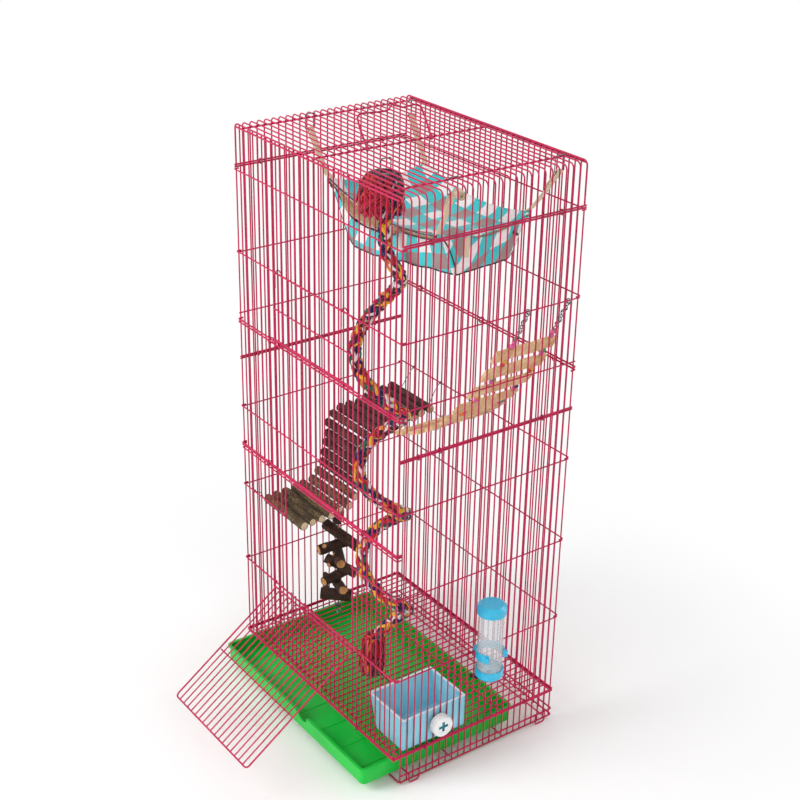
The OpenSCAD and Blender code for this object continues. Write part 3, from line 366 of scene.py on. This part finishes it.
# Mesh helpers
def mesh_object(name, verts, faces, mats, body, cols=None, mat_index=None, uvs=None):
    """A smooth object that rides on a body, with its colours, materials and texture coordinates."""
    me = bpy.data.meshes.new(name)
    me.from_pydata([tuple(v) for v in verts], [], faces)
    for k in mats:
        me.materials.append(M[k].material)
    if cols is not None:
        at = me.color_attributes.new("Col", "FLOAT_COLOR", "POINT")
        at.data.foreach_set("color", np.asarray(cols, dtype=np.float32).ravel())
    if uvs is not None:
        layer = me.uv_layers.new(name="UVMap")
        idx = np.zeros(len(me.loops), dtype=np.int32)
        me.loops.foreach_get("vertex_index", idx)
        layer.data.foreach_set("uv", np.asarray(uvs, dtype=np.float32)[idx].ravel())
    if mat_index is not None:
        me.polygons.foreach_set("material_index", np.asarray(mat_index, dtype=np.int32))
    me.polygons.foreach_set("use_smooth", [True] * len(me.polygons))
    me.update()
    ob = bpy.data.objects.new(name, me)
    bpy.context.scene.collection.objects.link(ob)
    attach(ob, body)
    return ob


def frames(pts):
    """Parallel frames along a line of points: (tangent, side, up) at each."""
    n = len(pts)
    out = []
    ref = None
    for i in range(n):
        t = (pts[min(i + 1, n - 1)] - pts[max(i - 1, 0)]).normalized()
        if ref is None:
            ref = Vector((1, 0, 0)) if abs(t.x) < 0.9 else Vector((0, 1, 0))
        s = (ref - t * ref.dot(t)).normalized()
        ref = s
        out.append((t, s, t.cross(s)))
    return out


def resample(pts, step):
    """The same line in equal steps of about the given length, and its whole length."""
    d = [0.0]
    for a, b in zip(pts, pts[1:]):
        d.append(d[-1] + (b - a).length)
    n = max(2, int(round(d[-1] / step)))
    out, j = [], 0
    for i in range(n + 1):
        t = d[-1] * i / n
        while j < len(d) - 2 and d[j + 1] < t:
            j += 1
        out.append(pts[j].lerp(pts[j + 1], (t - d[j]) / (d[j + 1] - d[j])))
    return out, d[-1]


WHITE = (1, 1, 1, 1)


class Soup:
    """Many tubes and ribbons gathered in one mesh."""

    def __init__(self):
        self.v, self.f, self.c = [], [], []

    def skin(self, base, rings, sides):
        """Faces over rings of points, with both ends closed."""
        for i in range(rings - 1):
            for k in range(sides):
                a, b = base + i * sides + k, base + i * sides + (k + 1) % sides
                self.f.append((a, b, b + sides, a + sides))
        self.f.append(tuple(base + k for k in reversed(range(sides))))
        self.f.append(tuple(base + (rings - 1) * sides + k for k in range(sides)))

    def tube(self, pts, radius, sides, colour=WHITE, shape=None):
        base = len(self.v)
        n = len(pts)
        for i, (p, (_, s, u)) in enumerate(zip(pts, frames(pts))):
            r0 = radius(i / (n - 1)) if callable(radius) else radius
            for k in range(sides):
                a = 2 * math.pi * k / sides
                r = r0 * (shape(i, a) if shape else 1)
                self.v.append(p + s * (r * math.cos(a)) + u * (r * math.sin(a)))
                self.c.append(colour(i, a) if callable(colour) else colour)
        self.skin(base, n, sides)

    def ribbon(self, pts, wide, thick, across):
        """Flat webbing along a line: a rounded strip with its width along one direction."""
        fine, _ = resample(pts, 0.003)
        n = len(fine)
        base = len(self.v)
        w = Vector(across).normalized()
        under = [(-0.5, -0.3), (-0.46, -0.5), (-0.2, -0.44), (0, -0.5), (0.2, -0.44), (0.46, -0.5),
                 (0.5, -0.3)]
        profile = under + [(-a, -b) for a, b in under]
        for i, p in enumerate(fine):
            t = (fine[min(i + 1, n - 1)] - fine[max(i - 1, 0)]).normalized()
            s = (w - t * w.dot(t)).normalized()
            h = t.cross(s)
            for a, b in profile:
                self.v.append(p + s * (a * wide) + h * (b * thick))
                self.c.append(WHITE)
        self.skin(base, n, len(profile))

    def build(self, name, mats, body):
        return mesh_object(name, self.v, self.f, mats, body, cols=self.c)


# Rope perch: the route is the same formula and the same round numbers as the solid's
ROPE_X, ROPE_Y, ROPE_TOP, ROPE_END, ROPE_R = 62, -167.5 + 13.4 * 6.5, 892, 140, 38
NECK, TASSEL_Z = 927, 984
TURNS_FROM, TURN_HEIGHT, SWELL, SWELL_HEIGHT = 824, 201.7, 0.19, 480
TAIL_FROM, TAIL, TAIL_TURN = 0.93, 0.07, 0.75
RIGHT_X, RIGHT_Y = 0.59, 0.807
RIGHT = Vector((RIGHT_X, RIGHT_Y, 0))


def rope_pt(s):
    """The rope's middle line, from s = 0 at the top to s = 1 at the bottom."""
    span = ROPE_TOP - ROPE_END
    z = ROPE_TOP - span * s
    q = max(0.0, (s - TAIL_FROM) / TAIL)
    zt = ROPE_TOP - span * (TAIL_FROM + TAIL * TAIL_TURN * q) if q > 0 else z
    turns = (TURNS_FROM - zt) / TURN_HEIGHT
    if zt > TURNS_FROM - SWELL_HEIGHT:
        turns -= SWELL * math.sin(math.radians(180 * (TURNS_FROM - zt) / SWELL_HEIGHT))
    f = math.radians(360 * turns)
    g = smooth((ROPE_TOP - z) / 90)
    a = (-13 + 25 * s) * g + ROPE_R * g * math.cos(f)
    b = ROPE_R * g * math.sin(f)
    return P(ROPE_X + RIGHT_X * a - RIGHT_Y * b, ROPE_Y + RIGHT_Y * a + RIGHT_X * b, z)


route = [P(ROPE_X, ROPE_Y, NECK)] + [rope_pt(i / 390) for i in range(391)]
route.append(route[-1] - UP * 0.008)
line, rope_length = resample(route, 0.0015)
YARN = {"red": "#c00f1c", "dark": "#45080e", "yellow": "#fbbf2c", "orange": "#ee8a1c", "navy": "#171650",
        "green": "#1d7350", "white": "#f4f0ea", "black": "#16120f"}
YARN = {k: hexc(v) for k, v in YARN.items()}
LAY, PLY_LAY = 0.08, 0.045                          # length of one turn of a strand, and of its plies
WEAVE_R, WEAVE_DEPTH, STRAND_R, SHADE_CORE_R = 0.0064, 0.0013, 0.0035, 0.0056
STRANDS = [[("red", "red", "dark"), ("yellow", "orange", "dark"), ("navy", "navy", "white"),
            ("green", "navy", "yellow")],
           [("navy", "white", "navy"), ("red", "dark", "white"), ("yellow", "yellow", "red"),
            ("navy", "green", "navy")]]


def strand(soup, fr, step, way, k, plies):
    """One of the four strands that wind one way, in front of and behind the others in turn."""
    pts = []
    for i, (p, (_, s, u)) in enumerate(zip(line, fr)):
        x = i * step / LAY
        a = 2 * math.pi * (k / 4 + way * x)
        r = WEAVE_R + way * WEAVE_DEPTH * math.cos(8 * math.pi * x)
        pts.append(p + around(s, u, a) * r)

    def turn(i, a):
        return a / (2 * math.pi) - i * step / PLY_LAY + k * 0.4

    def shape(i, a):
        return 0.95 + 0.12 * abs(math.sin(3 * math.pi * turn(i, a)))

    def colour(i, a):
        return YARN[plies[int(turn(i, a) * 3 % 3)]]
    soup.tube(pts, STRAND_R, 18, colour, shape)


def make_rope():
    """Eight strands in a round plait, four each way, over and under in turn; each has three plies."""
    soup = Soup()
    fr = frames(line)
    step = rope_length / (len(line) - 1)
    for way, lays in zip((1, -1), STRANDS):
        for k, plies in enumerate(lays):
            strand(soup, fr, step, way, k, plies)
    # The black core inside the plait is painted shade: it shows through the gaps between the strands as
    # their shadow.
    soup.tube(line[2:-2], SHADE_CORE_R, 10, YARN["black"])
    ob = soup.build("rope", ["yarn"], "rope_perch")
    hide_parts("rope_perch")
    return ob


rope = make_rope()


def tassel(name, node, centre, pick, seed, count, neck, widest, height, flare, arch, lean, ragged,
           crown=0):
    """Yarn ends: strands that leave a tight neck, arch out and hang down, some short, some astray.

    A higher flare spreads them sooner, and the first rings of each, as many as crown says, are dark.
    """
    soup = Soup()
    r = random.Random(seed)
    for _ in range(count):
        a = r.random() * 2 * math.pi
        q = r.random() ** 0.55
        way = Vector((math.cos(a), math.sin(a), 0)).dot(RIGHT)
        reach = neck + (widest - neck) * q * (1 - 0.2 * max(0, way)) * (1 - 0.5 * ragged * r.random())
        start = neck * (0.3 + 0.6 * q)
        drop = height * (1 - ragged * r.random() ** 1.5) * (1 - 0.08 * q)
        wob = r.random() * 6.28
        bow = arch * (0.3 + 0.7 * q) * (0.7 + 0.6 * r.random())
        stray = 0.3 + 0.5 * r.random()
        pts = []
        for j in range(12):
            t = j / 11
            rad = start + (reach - start) * math.sin(min(1, flare * t) * math.pi / 2) ** 0.8
            rad *= 1 - 0.16 * max(0, t - 0.6) / 0.4 * math.sin(wob * 3)
            aa = a + stray * math.sin(wob + 4.5 * t)
            z = bow * math.sin(math.pi * min(1, t * 2.2)) - drop * t ** 1.25
            sag = RIGHT * (lean * math.sin(math.pi * t / 2))
            pts.append(centre + Vector((rad * math.cos(aa), rad * math.sin(aa), z)) - sag)
        colour = YARN[pick(r, way)]
        k = 0.65 + 0.6 * r.random()
        phase = r.random() * 6.28
        tone = tuple(min(1, x * k) for x in colour[:3]) + (1,)
        dusk = YARN[r.choice(["black", "dark", "navy"])]
        soup.tube(pts, 0.0014 + 0.0008 * r.random(), 6,
                  lambda i, a, tone=tone, dusk=dusk: dusk if i < crown else tone,
                  lambda i, a, phase=phase: 1 + 0.22 * math.cos(2 * a + phase + i * 1.4))
    ob = soup.build(name, ["yarn"], "rope_perch")
    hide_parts(node)
    return ob


def pick_top(r, way):
    """Red to the left, navy and black to the right, with a few bright ends."""
    if r.random() < 0.13:
        return r.choice(["yellow", "orange", "green", "white"])
    if way > 0.35:
        return r.choice(["navy", "black", "navy", "dark", "red"])
    return r.choice(["red", "red", "red", "red", "dark", "black" if way > -0.2 else "red"])


def pick_low(r, way):
    """Red and dark red all round."""
    return r.choice(["red"] * 6 + ["dark"] * 3 + ["black", "orange"])


top = tassel("tassel_upper_yarn", "tassel_top", P(ROPE_X, ROPE_Y, TASSEL_Z), pick_top, seed=3, count=400,
             neck=0.013, widest=0.0365, height=0.066, flare=1.7, arch=0.003, lean=0.005, ragged=0.3,
             crown=2)
low = tassel("tassel_lower_yarn", "tassel_bottom", route[-1] - UP * 0.0023, pick_low, seed=4, count=260,
             neck=0.008, widest=0.0225, height=0.067, flare=1.9, arch=0.017, lean=0.007, ragged=0.42)
tuple(line[0])
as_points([tuple(p) for p in line[::5]] + [tuple(line[-1])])


# Twisted cords through the planks and the chew toy
def twisted(soup, pts, r, lay, tones):
    """Two plies that wind round each other."""
    fine, length = resample(pts, lay / 10)
    fr = frames(fine)
    step = length / (len(fine) - 1)
    for k, tone in enumerate(tones):
        out = []
        for i, (p, (_, s, u)) in enumerate(zip(fine, fr)):
            a = 2 * math.pi * (i * step / lay + k / 2)
            out.append(p + around(s, u, a) * (r * 0.48))
        soup.tube(out, r * 0.52, 7, hexc(tone))


def knot(soup, c, r, tone):
    """Overhand knot: a trefoil of the same cord, drawn tight."""
    pts = []
    for i in range(49):
        t = 2 * math.pi * i / 48
        wide = 2 + math.cos(3 * t)
        way = Vector((wide * math.cos(2 * t), 1.1 * math.sin(3 * t), wide * math.sin(2 * t)))
        pts.append(c + way * r)
    soup.tube(pts, r * 1.05, 8, hexc(tone))


# The middle of each plank, in x and z; the place of each cord, in y, and where its lower end is
PLANKS = [(194, 719), (173, 680), (148, 640), (112, 594), (78, 555), (44, 523), (4, 496), (-41, 474),
          (-82, 459)]
CORD_ENDS = {71: (-89.9, 74.8, 467.9), 150: (-87.4, 130, 478)}
PLANK_CORD_R, CHEW_CORD_R = 0.0009, 0.0013
CHEW_X, CHEW_Y, CHEW_TOP = -107, -52.67, 335.96
CHEW_CORD_FROM, CHEW_CORD_DROP = 326.9, 202.4


def past(a, b, far):
    """The place that lies beyond plank a by some distance, in line from plank b."""
    d = Vector((a[0] - b[0], a[1] - b[1])).normalized() * far
    return a[0] + d.x, a[1] + d.y


def plank_cords():
    ends = [past(PLANKS[0], PLANKS[1], 8.2), past(PLANKS[-1], PLANKS[-2], 1.6)]
    soup = Soup()
    for y, chain in CORD_ENDS.items():
        pts = [P(x, y, z) for x, z in ends[:1] + PLANKS + ends[1:]] + [P(*chain)]
        twisted(soup, pts, PLANK_CORD_R, 0.005, ("#c9ae80", "#a98a5c"))
        knot(soup, pts[0] + Vector((0.0006, 0, 0.0006)), PLANK_CORD_R, "#bfa273")
        knot(soup, pts[-1] + Vector((0.0008, 0, 0)), PLANK_CORD_R, "#bfa273")
    ob = soup.build("plank_cord_pair", ["twine"], "cage")
    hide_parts("plank_cords")


def chew_cord():
    soup = Soup()
    pts = [P(CHEW_X, CHEW_Y, CHEW_CORD_FROM - CHEW_CORD_DROP * i / 40) for i in range(41)]
    twisted(soup, pts, CHEW_CORD_R, 0.007, ("#b79a6d", "#8d6f47"))
    ob = soup.build("chew_cord_twine", ["twine"], "chew_toy")
    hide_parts("chew_cord")


plank_cords()
chew_cord()

# Hammock: two layers of cloth that hang from four straps. The corners run from front left to rear left,
# rear right and front right, and u runs to the right, v to the rear
HAM = [(-160, -37), (-140, 144), (150, 128), (165, -60)]
HAM_Z = 912
HEM_SAG_U, HEM_SAG_V, MID_SAG = 34, 26, 46
WALL_U, WALL_V = 0.93, 0.045                        # where the pouch's walls end in its own u and v
STRAP_WIDE, STRAP_THICK = 0.0105, 0.0015
PIPING, BINDING = 0.0014, 0.0019


def ham_xy(u, v):
    a = [lerp(HAM[0][i], HAM[3][i], u) for i in (0, 1)]
    b = [lerp(HAM[1][i], HAM[2][i], u) for i in (0, 1)]
    return lerp(a[0], b[0], v), lerp(a[1], b[1], v)


def ham_in(u, v):
    """0 at the hems and 1 in the middle."""
    return max(0.0, 16 * u * (1 - u) * v * (1 - v)) ** 0.55


def ham_z(u, v):
    """The same sag as the solid's."""
    k = ham_in(u, v)
    z = HAM_Z - (HEM_SAG_U * 4 * u * (1 - u) + HEM_SAG_V * 4 * v * (1 - v)) * (1 - k) * 0.6 - MID_SAG * k
    return z + (2.6 * math.sin(math.radians(540 * u + 120 * v)) + 2 * math.sin(math.radians(700 * v))) * k


def folds(u, v, size):
    """Soft wrinkles that run from the pinned corners and die out towards the hems."""
    k = min(1.0, 5 * min(u, 1 - u, v, 1 - v))
    n = noise.fractal(Vector((u * 5.2, v * 3.1, 1.7)), 0.9, 2.1, 4)
    ridge = 1 - abs(noise.noise(Vector((u * 6 + v * 3, v * 4 - u * 2, 4.0)))) * 2.4
    return size * k * (0.8 * n + 0.7 * ridge - 0.4)


def bed_z(u, v):
    return ham_z(u, v) + folds(u, v, 1.3)


def pouch_at(u, v):
    """The pouch's walls stand under the front and right hems, where the cloth goes straight down."""
    return min(1.0, u / WALL_U), max(0.0, (v - WALL_V) / (1 - WALL_V))


def pouch_xy(u, v):
    """As the bed's, with the front wall leaning in at the right, clear of the rope."""
    ue, ve = pouch_at(u, v)
    x, y = ham_xy(ue, ve)
    return x, y + 40 * ue ** 5 * smooth(v / 0.055) * (1 - ve) ** 2


def pocket_z(u, v):
    ue, ve = pouch_at(u, v)
    deep = lerp(89, 67, smooth((ue - 0.25) / 0.6)) * smooth((1 - u) / 0.085) * smooth(ue / 0.28)
    mouth = 0.06 * smooth((0.86 - ue) / 0.3)
    deep *= smooth((v + mouth) / (0.055 + mouth)) * smooth((1.02 - v) / 0.27)
    return min(ham_z(ue, ve) - 5.4, HAM_Z - deep + folds(u, v + 0.3, 2.4) - 1)


BED, POUCH = (ham_xy, bed_z), (pouch_xy, pocket_z)


def on_cloth(cloth, u, v, out=(0, 0, -1.3)):
    """A place on a layer, moved by some millimetres."""
    x, y = cloth[0](u, v)
    return P(x + out[0], y + out[1], cloth[1](u, v) + out[2])


def sheet_mesh(name, cloth, n, mats, thick):
    """A sheet whose sides lie apart along its normal, with the cut lengths as its texture coordinates."""
    m = n + 1
    verts = [on_cloth(cloth, i / n, j / n, (0, 0, 0)) for i in range(m) for j in range(m)]
    faces, mi = [], []
    along, over, lows = [0.0] * (m * m), [0.0] * (m * m), []
    for i in range(m):
        for j in range(m):
            k = i * m + j
            if i:
                along[k] = along[k - m] + (verts[k] - verts[k - m]).length
            if j:
                over[k] = over[k - 1] + (verts[k] - verts[k - 1]).length
            du = verts[min(i + 1, n) * m + j] - verts[max(i - 1, 0) * m + j]
            dv = verts[i * m + min(j + 1, n)] - verts[i * m + max(j - 1, 0)]
            lows.append(verts[k] - du.cross(dv).normalized() * thick)
    uvs = list(zip(along, over))
    q = m * m
    for i in range(n):
        for j in range(n):
            a, b, c, d = i * m + j, i * m + j + 1, (i + 1) * m + j + 1, (i + 1) * m + j
            faces += [(d, c, b, a), (q + a, q + b, q + c, q + d)]
            mi += [0, 1]
    edge = list(range(m)) + [i * m + n for i in range(1, m)]
    edge += [n * m + j for j in range(n - 1, -1, -1)] + [i * m for i in range(n - 1, 0, -1)]
    for a, b in zip(edge, edge[1:] + edge[:1]):
        faces.append((a, b, q + b, q + a))
        mi.append(0)
    return mesh_object(name, verts + lows, faces, mats, "cage", mat_index=mi, uvs=uvs + uvs)


bed = sheet_mesh("hammock_bed", BED, 90, ["check", "plush"], 0.0026)
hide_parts("hammock_cloth")
pouch = sheet_mesh("hammock_pouch", POUCH, 120, ["plush", "check"], 0.0024)
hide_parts("hammock_pocket")


def bindings():
    """Dark binding on the front hem, and piping where the pouch's walls meet the hem and its floor."""
    soup = Soup()
    ts = [i / 80 for i in range(81)]
    for radius, pts in (
            (BINDING, [on_cloth(BED, t, 0) for t in ts]),
            (PIPING, [on_cloth(POUCH, t, 0, (0, -1, -1)) for t in ts]),
            (PIPING, [on_cloth(POUCH, lerp(0.03, 0.915, t), 0.05, (0, -2.2, -1.6)) for t in ts]),
            (PIPING, [on_cloth(POUCH, 0.92, lerp(0.05, 0.97, t), (2.2, 0, -1.6)) for t in ts]),
            (PIPING, [on_cloth(POUCH, 1 - 0.08 * t, 0.05 * t, (2, -1.6, -1.2)) for t in ts])):
        soup.tube(pts, radius, 8)
    return soup.build("hammock_binding", ["binding"], "cage")


def pouch_mouth():
    """The plush lining that shows in the pouch's mouth, under the bed's front hem."""
    soup = Soup()
    pts, size = [], []
    for i in range(81):
        u = lerp(0.03, 0.8, i / 80)
        lo, hi = pocket_z(u, 0), bed_z(min(1, u / WALL_U), 0) - 2.6
        x, y = pouch_xy(u, 0.05)
        pts.append(P(x, y + 2, (lo + hi) / 2))
        size.append(max(0.0006, min(0.012, (hi - lo) / 2000 - 0.0002)))

    def shape(i, a):
        return 0.92 + 0.12 * noise.noise(Vector((i * 0.4, 2 * math.cos(a), 2 * math.sin(a))))
    soup.tube(pts, lambda t: size[int(round(t * 80))], 14, shape=shape)
    return soup.build("pouch_lining", ["plush"], "cage")


bind_bed = bindings()
lining = pouch_mouth()


def straps():
    """Webbing from each corner of the hammock up round its clip's bar and back down on itself."""
    bars = [(-207, -40.2), (-187, 147.4), (189, 147.4), (189, -53.6)]
    r = 0.0022
    soup = Soup()
    for (hx, hy), (bx, by) in zip(HAM, bars):
        foot, bar = P(hx, hy, HAM_Z + 0.9), P(bx, by, 981.4)
        out = bar - foot
        flat = Vector((out.x, 0, out.z)).normalized()
        nrm = Vector((-flat.z, 0, flat.x))
        if nrm.z < 0:
            nrm = -nrm
        sewn = P(hx * 0.965, lerp(hy, 45, 0.05), HAM_Z - 1.2)
        pts = [sewn, foot.lerp(bar, 0.06)]
        for i in range(1, 9):
            q = foot.lerp(bar, 0.06 + 0.88 * i / 9)
            sag = -0.0016 * math.sin(math.pi * i / 9)
            pts.append(q + Vector((0, 0, sag)) - nrm * (r * i / 9))
        for i in range(13):
            a = math.pi * (-0.5 + i / 12)
            pts.append(bar + flat * (r * math.cos(a)) + nrm * (r * math.sin(a)))
        for i in range(1, 7):
            pts.append(bar.lerp(foot, 0.42 * i / 6) + nrm * lerp(r, 0.0009, i / 6))
        soup.ribbon(pts, STRAP_WIDE, STRAP_THICK, (0, 1, 0))
    ob = soup.build("hammock_strap_webbing", ["strap"], "cage")
    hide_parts("hammock_straps")
    return ob


def loops():
    """Sewn loop on the pouch's outer wall, and the rolled strap end at the front clip."""
    soup = Soup()
    sewn = [on_cloth(POUCH, 1 - 0.05 * i / 12, 0.16, (3.2 + 1.2 * math.sin(math.pi * i / 12), 0, 0))
            for i in range(13)]
    soup.ribbon(sewn, 0.0105, 0.0013, (0, 1, 0.1))
    axis = Vector((0.95, -0.3, 0)).normalized()
    across = axis.cross(UP)
    roll = []
    for i in range(60):
        a = i / 59 * 2 * math.pi * 2.3
        roll.append(P(201, -50, 983) + around(across, UP, a) * (0.0022 + 0.005 * i / 59))
    soup.ribbon(roll, 0.02, 0.0016, axis)
    soup.build("hammock_loops", ["strap"], "cage")


def make_toggle():
    """Horn toggle on the pouch's outer wall."""
    soup = Soup()
    a, b = on_cloth(POUCH, 0.965, 0.8, (4.6, 0, 0)), on_cloth(POUCH, 0.945, 0.86, (4.6, 0, 0))
    pts = [a.lerp(b, i / 16) for i in range(17)]
    soup.tube(pts, lambda t: 0.0026 * math.sqrt(max(0.02, 1 - (2 * t - 1) ** 4)), 14)
    return soup.build("hammock_toggle", ["toggle"], "cage")


webbing = straps()
loops()
toggle = make_toggle()


# Bark logs in place of the plain rods, with their pale cut ends
def loose_parts(node):
    """The points of each separate part of a node's mesh."""
    me = NODES[node].data
    co = np.empty(len(me.vertices) * 3)
    me.vertices.foreach_get("co", co)
    co = co.reshape(-1, 3)
    keys = {}
    ids = [keys.setdefault(tuple(p), len(keys)) for p in np.round(co, 5)]
    parent = list(range(len(keys)))

    def find(a):
        while parent[a] != a:
            parent[a] = parent[parent[a]]
            a = parent[a]
        return a
    for e in me.edges:
        a, b = (find(ids[i]) for i in e.vertices)
        if a != b:
            parent[a] = b
    groups = {}
    for i, k in enumerate(ids):
        groups.setdefault(find(k), []).append(i)
    return [co[g] for g in groups.values()]


def bark_rod(data, c, ax, half, rad, r, knobs=0.05):
    """One rough round of wood: bark on the side, pale cut ends."""
    verts, faces, mi = data
    s = ax.orthogonal().normalized()
    u = ax.cross(s)
    off = Vector((r.random(), r.random(), r.random())) * 40
    rings, sides = max(10, int(half / 0.0024)), 30
    base = len(verts)
    for i in range(rings + 1):
        t = -1 + 2 * i / rings
        for k in range(sides):
            a = 2 * math.pi * k / sides
            q = Vector((t * half * 30, math.cos(a) * 1.2, math.sin(a) * 1.2)) + off
            f = 0.955 + knobs * noise.fractal(q, 0.7, 2.1, 4) + 0.018 * math.sin(5 * a + off.x)
            f -= 0.06 * max(0.0, abs(t) - 0.95) / 0.05
            verts.append(c + ax * (t * half) + around(s, u, a) * (rad * min(0.995, f)))
    for i in range(rings):
        for k in range(sides):
            a, b = base + i * sides + k, base + i * sides + (k + 1) % sides
            faces.append((a, b, b + sides, a + sides))
            mi.append(0)
    for end, t in ((0, -1), (rings, 1)):
        ring = [base + end * sides + k for k in range(sides)]
        mid = len(verts)
        verts.append(c + ax * (t * half * 0.992))
        inner = []
        for k in ring:
            inner.append(len(verts))
            verts.append(verts[k].lerp(verts[mid], 0.12) - ax * (t * 0.0003))
        for k in range(sides):
            n2 = (k + 1) % sides
            rim = (ring[k], ring[n2], inner[n2], inner[k])
            cut = (inner[k], inner[n2], mid)
            faces += [rim, cut] if t < 0 else [rim[::-1], cut[::-1]]
            mi += [0, 1]


def rods(name, node, bark, end, body, data):
    verts, faces, mat_index = data
    ob = mesh_object(name, verts, faces, [bark, end], body, mat_index=mat_index)
    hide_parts(node)


def bridge_logs(level, bark):
    data, r = ([], [], []), random.Random(len(level))
    for part in loose_parts("logs_" + level):
        lo, hi = part.min(0), part.max(0)
        c = Vector(((lo + hi) / 2).tolist())
        bark_rod(data, c, Vector((1, 0, 0)), (hi[0] - lo[0]) / 2, (hi[1] - lo[1]) / 2, r)
    rods("bark_logs_" + level, "logs_" + level, bark, "cut_end", "cage", data)


# The upper and middle logs take the darker, redder bark as painted shade; the lower logs take the plain
# bark.
bridge_logs("upper", "shaded_red_bark")
bridge_logs("middle", "shaded_red_bark")
bridge_logs("lower", "bark")

# Chew toy: each piece is set on the cord by its offset, length, diameter, lean, heading and level, as the
# solid is, and a cut twig stands out of the side of each longer piece
CHEW = [(0, 24, 18, 16, 20, 25.5), (8, 78, 20, 108, 20, 58.7), (-8, 60, 20, 84, 80, 81.3),
        (-10, 72, 19, 98, 152, 101.9), (6, 62, 19, 106, 30, 123.3), (-4, 60, 19, 86, 96, 144.1),
        (12, 52, 19, 76, -20, 164.7), (-4, 56, 22, 92, 50, 186.7)]
TWIG_FROM, TWIG_HALF, TWIG_R = 40, 0.007, 0.0048


def chew_pieces():
    data, r = ([], [], []), random.Random(11)
    for offset, length, diameter, lean, heading, level in CHEW:
        tilt = Matrix.Rotation(math.radians(lean), 3, "Y")
        ax = Matrix.Rotation(math.radians(heading), 3, "Z") @ tilt @ UP
        c = P(CHEW_X, CHEW_Y, CHEW_TOP - level) + ax * (offset / 1000)
        bark_rod(data, c, ax, length / 2000, diameter / 2000, r, 0.13)
        if length > TWIG_FROM:
            side = ax.cross(UP).normalized() * (0.5 if level % 2 > 1 else -0.5)
            twig = side + Vector((-0.4, -0.6, 0.2))
            twig = (twig - ax * twig.dot(ax) * 0.7).normalized()
            root = c - ax * (length * 0.00023) + twig * (diameter / 2200)
            bark_rod(data, root, twig, TWIG_HALF, TWIG_R, r, 0.09)
    rods("bark_chew", "chew_logs", "dark_bark", "chew_end", "chew_toy", data)


chew_pieces()


# Floor, light and world
def seen_rays(tree):
    """1 for what is seen, also in a mirror or through glass, and 0 for the light on other things."""
    rays = tree.nodes.new("ShaderNodeLightPath").outputs
    out = rays["Is Camera Ray"]
    for kind in ("Is Glossy Ray", "Is Transmission Ray"):
        either = tree.nodes.new("ShaderNodeMath")
        either.operation = "MAXIMUM"
        tree.links.new(out, either.inputs[0])
        tree.links.new(rays[kind], either.inputs[1])
        out = either.outputs[0]
    return out


FLOOR_SIZE, FLOOR_Z = 40, -0.0002
SHADOW_END, WHITE_FROM = 0.32, 0.95


def add_floor():
    """Pale floor that keeps the shadow near the cage and goes over to plain white further out."""
    bpy.ops.mesh.primitive_plane_add(size=FLOOR_SIZE, location=(0, 0, FLOOR_Z))
    floor = bpy.context.object
    floor.name = "studio_floor"
    m = Mat("studio_floor", Roughness=0.9, Specular_IOR_Level=0.1)
    m.base(WHITE)
    glow = m.node("Emission", Color=WHITE, Strength=1.0)
    dist = m.node("VectorMath", {"operation": "LENGTH"}, Vector=m.xyz).outputs["Value"]
    far = m.fit(dist, From_Min=SHADOW_END, From_Max=WHITE_FROM)
    blend = m.node("MixShader", Fac=m.math("MULTIPLY", far, seen_rays(m.tree)))
    m.put(blend, 1, m.shader.outputs[0])
    m.put(blend, 2, glow.outputs[0])
    m.put(m.tree.nodes["Material Output"], "Surface", blend.outputs[0])
    floor.data.materials.append(m.material)


LIT_AT = Vector((0, 0.1, 0.5))


def area(name, loc, size, power):
    light = bpy.data.lights.new(name, "AREA")
    light.shape = "SQUARE"
    light.size = size
    light.energy = power
    ob = bpy.data.objects.new(name, light)
    ob.location = loc
    ob.rotation_euler = (LIT_AT - Vector(loc)).to_track_quat("-Z", "Y").to_euler()
    bpy.context.scene.collection.objects.link(ob)


WORLD_LIGHT, WORLD_SEEN = 0.5, 1.0


def add_world():
    world = bpy.data.worlds.new("studio")
    bpy.context.scene.world = world
    world.use_nodes = True
    tree = world.node_tree
    back = tree.nodes["Background"]
    back.inputs["Color"].default_value = WHITE
    level = tree.nodes.new("ShaderNodeMapRange")
    level.inputs["To Min"].default_value = WORLD_LIGHT
    level.inputs["To Max"].default_value = WORLD_SEEN
    tree.links.new(seen_rays(tree), level.inputs["Value"])
    tree.links.new(level.outputs[0], back.inputs["Strength"])


add_floor()
area("key", (-1.0, -3.0, 2.4), 2.0, 95)
area("fill", (3.2, -1.0, 2.4), 2.4, 35)
area("back", (0.4, 3.0, 2.8), 2.2, 30)
add_world()
bpy.context.scene.view_settings.view_transform = "Standard"
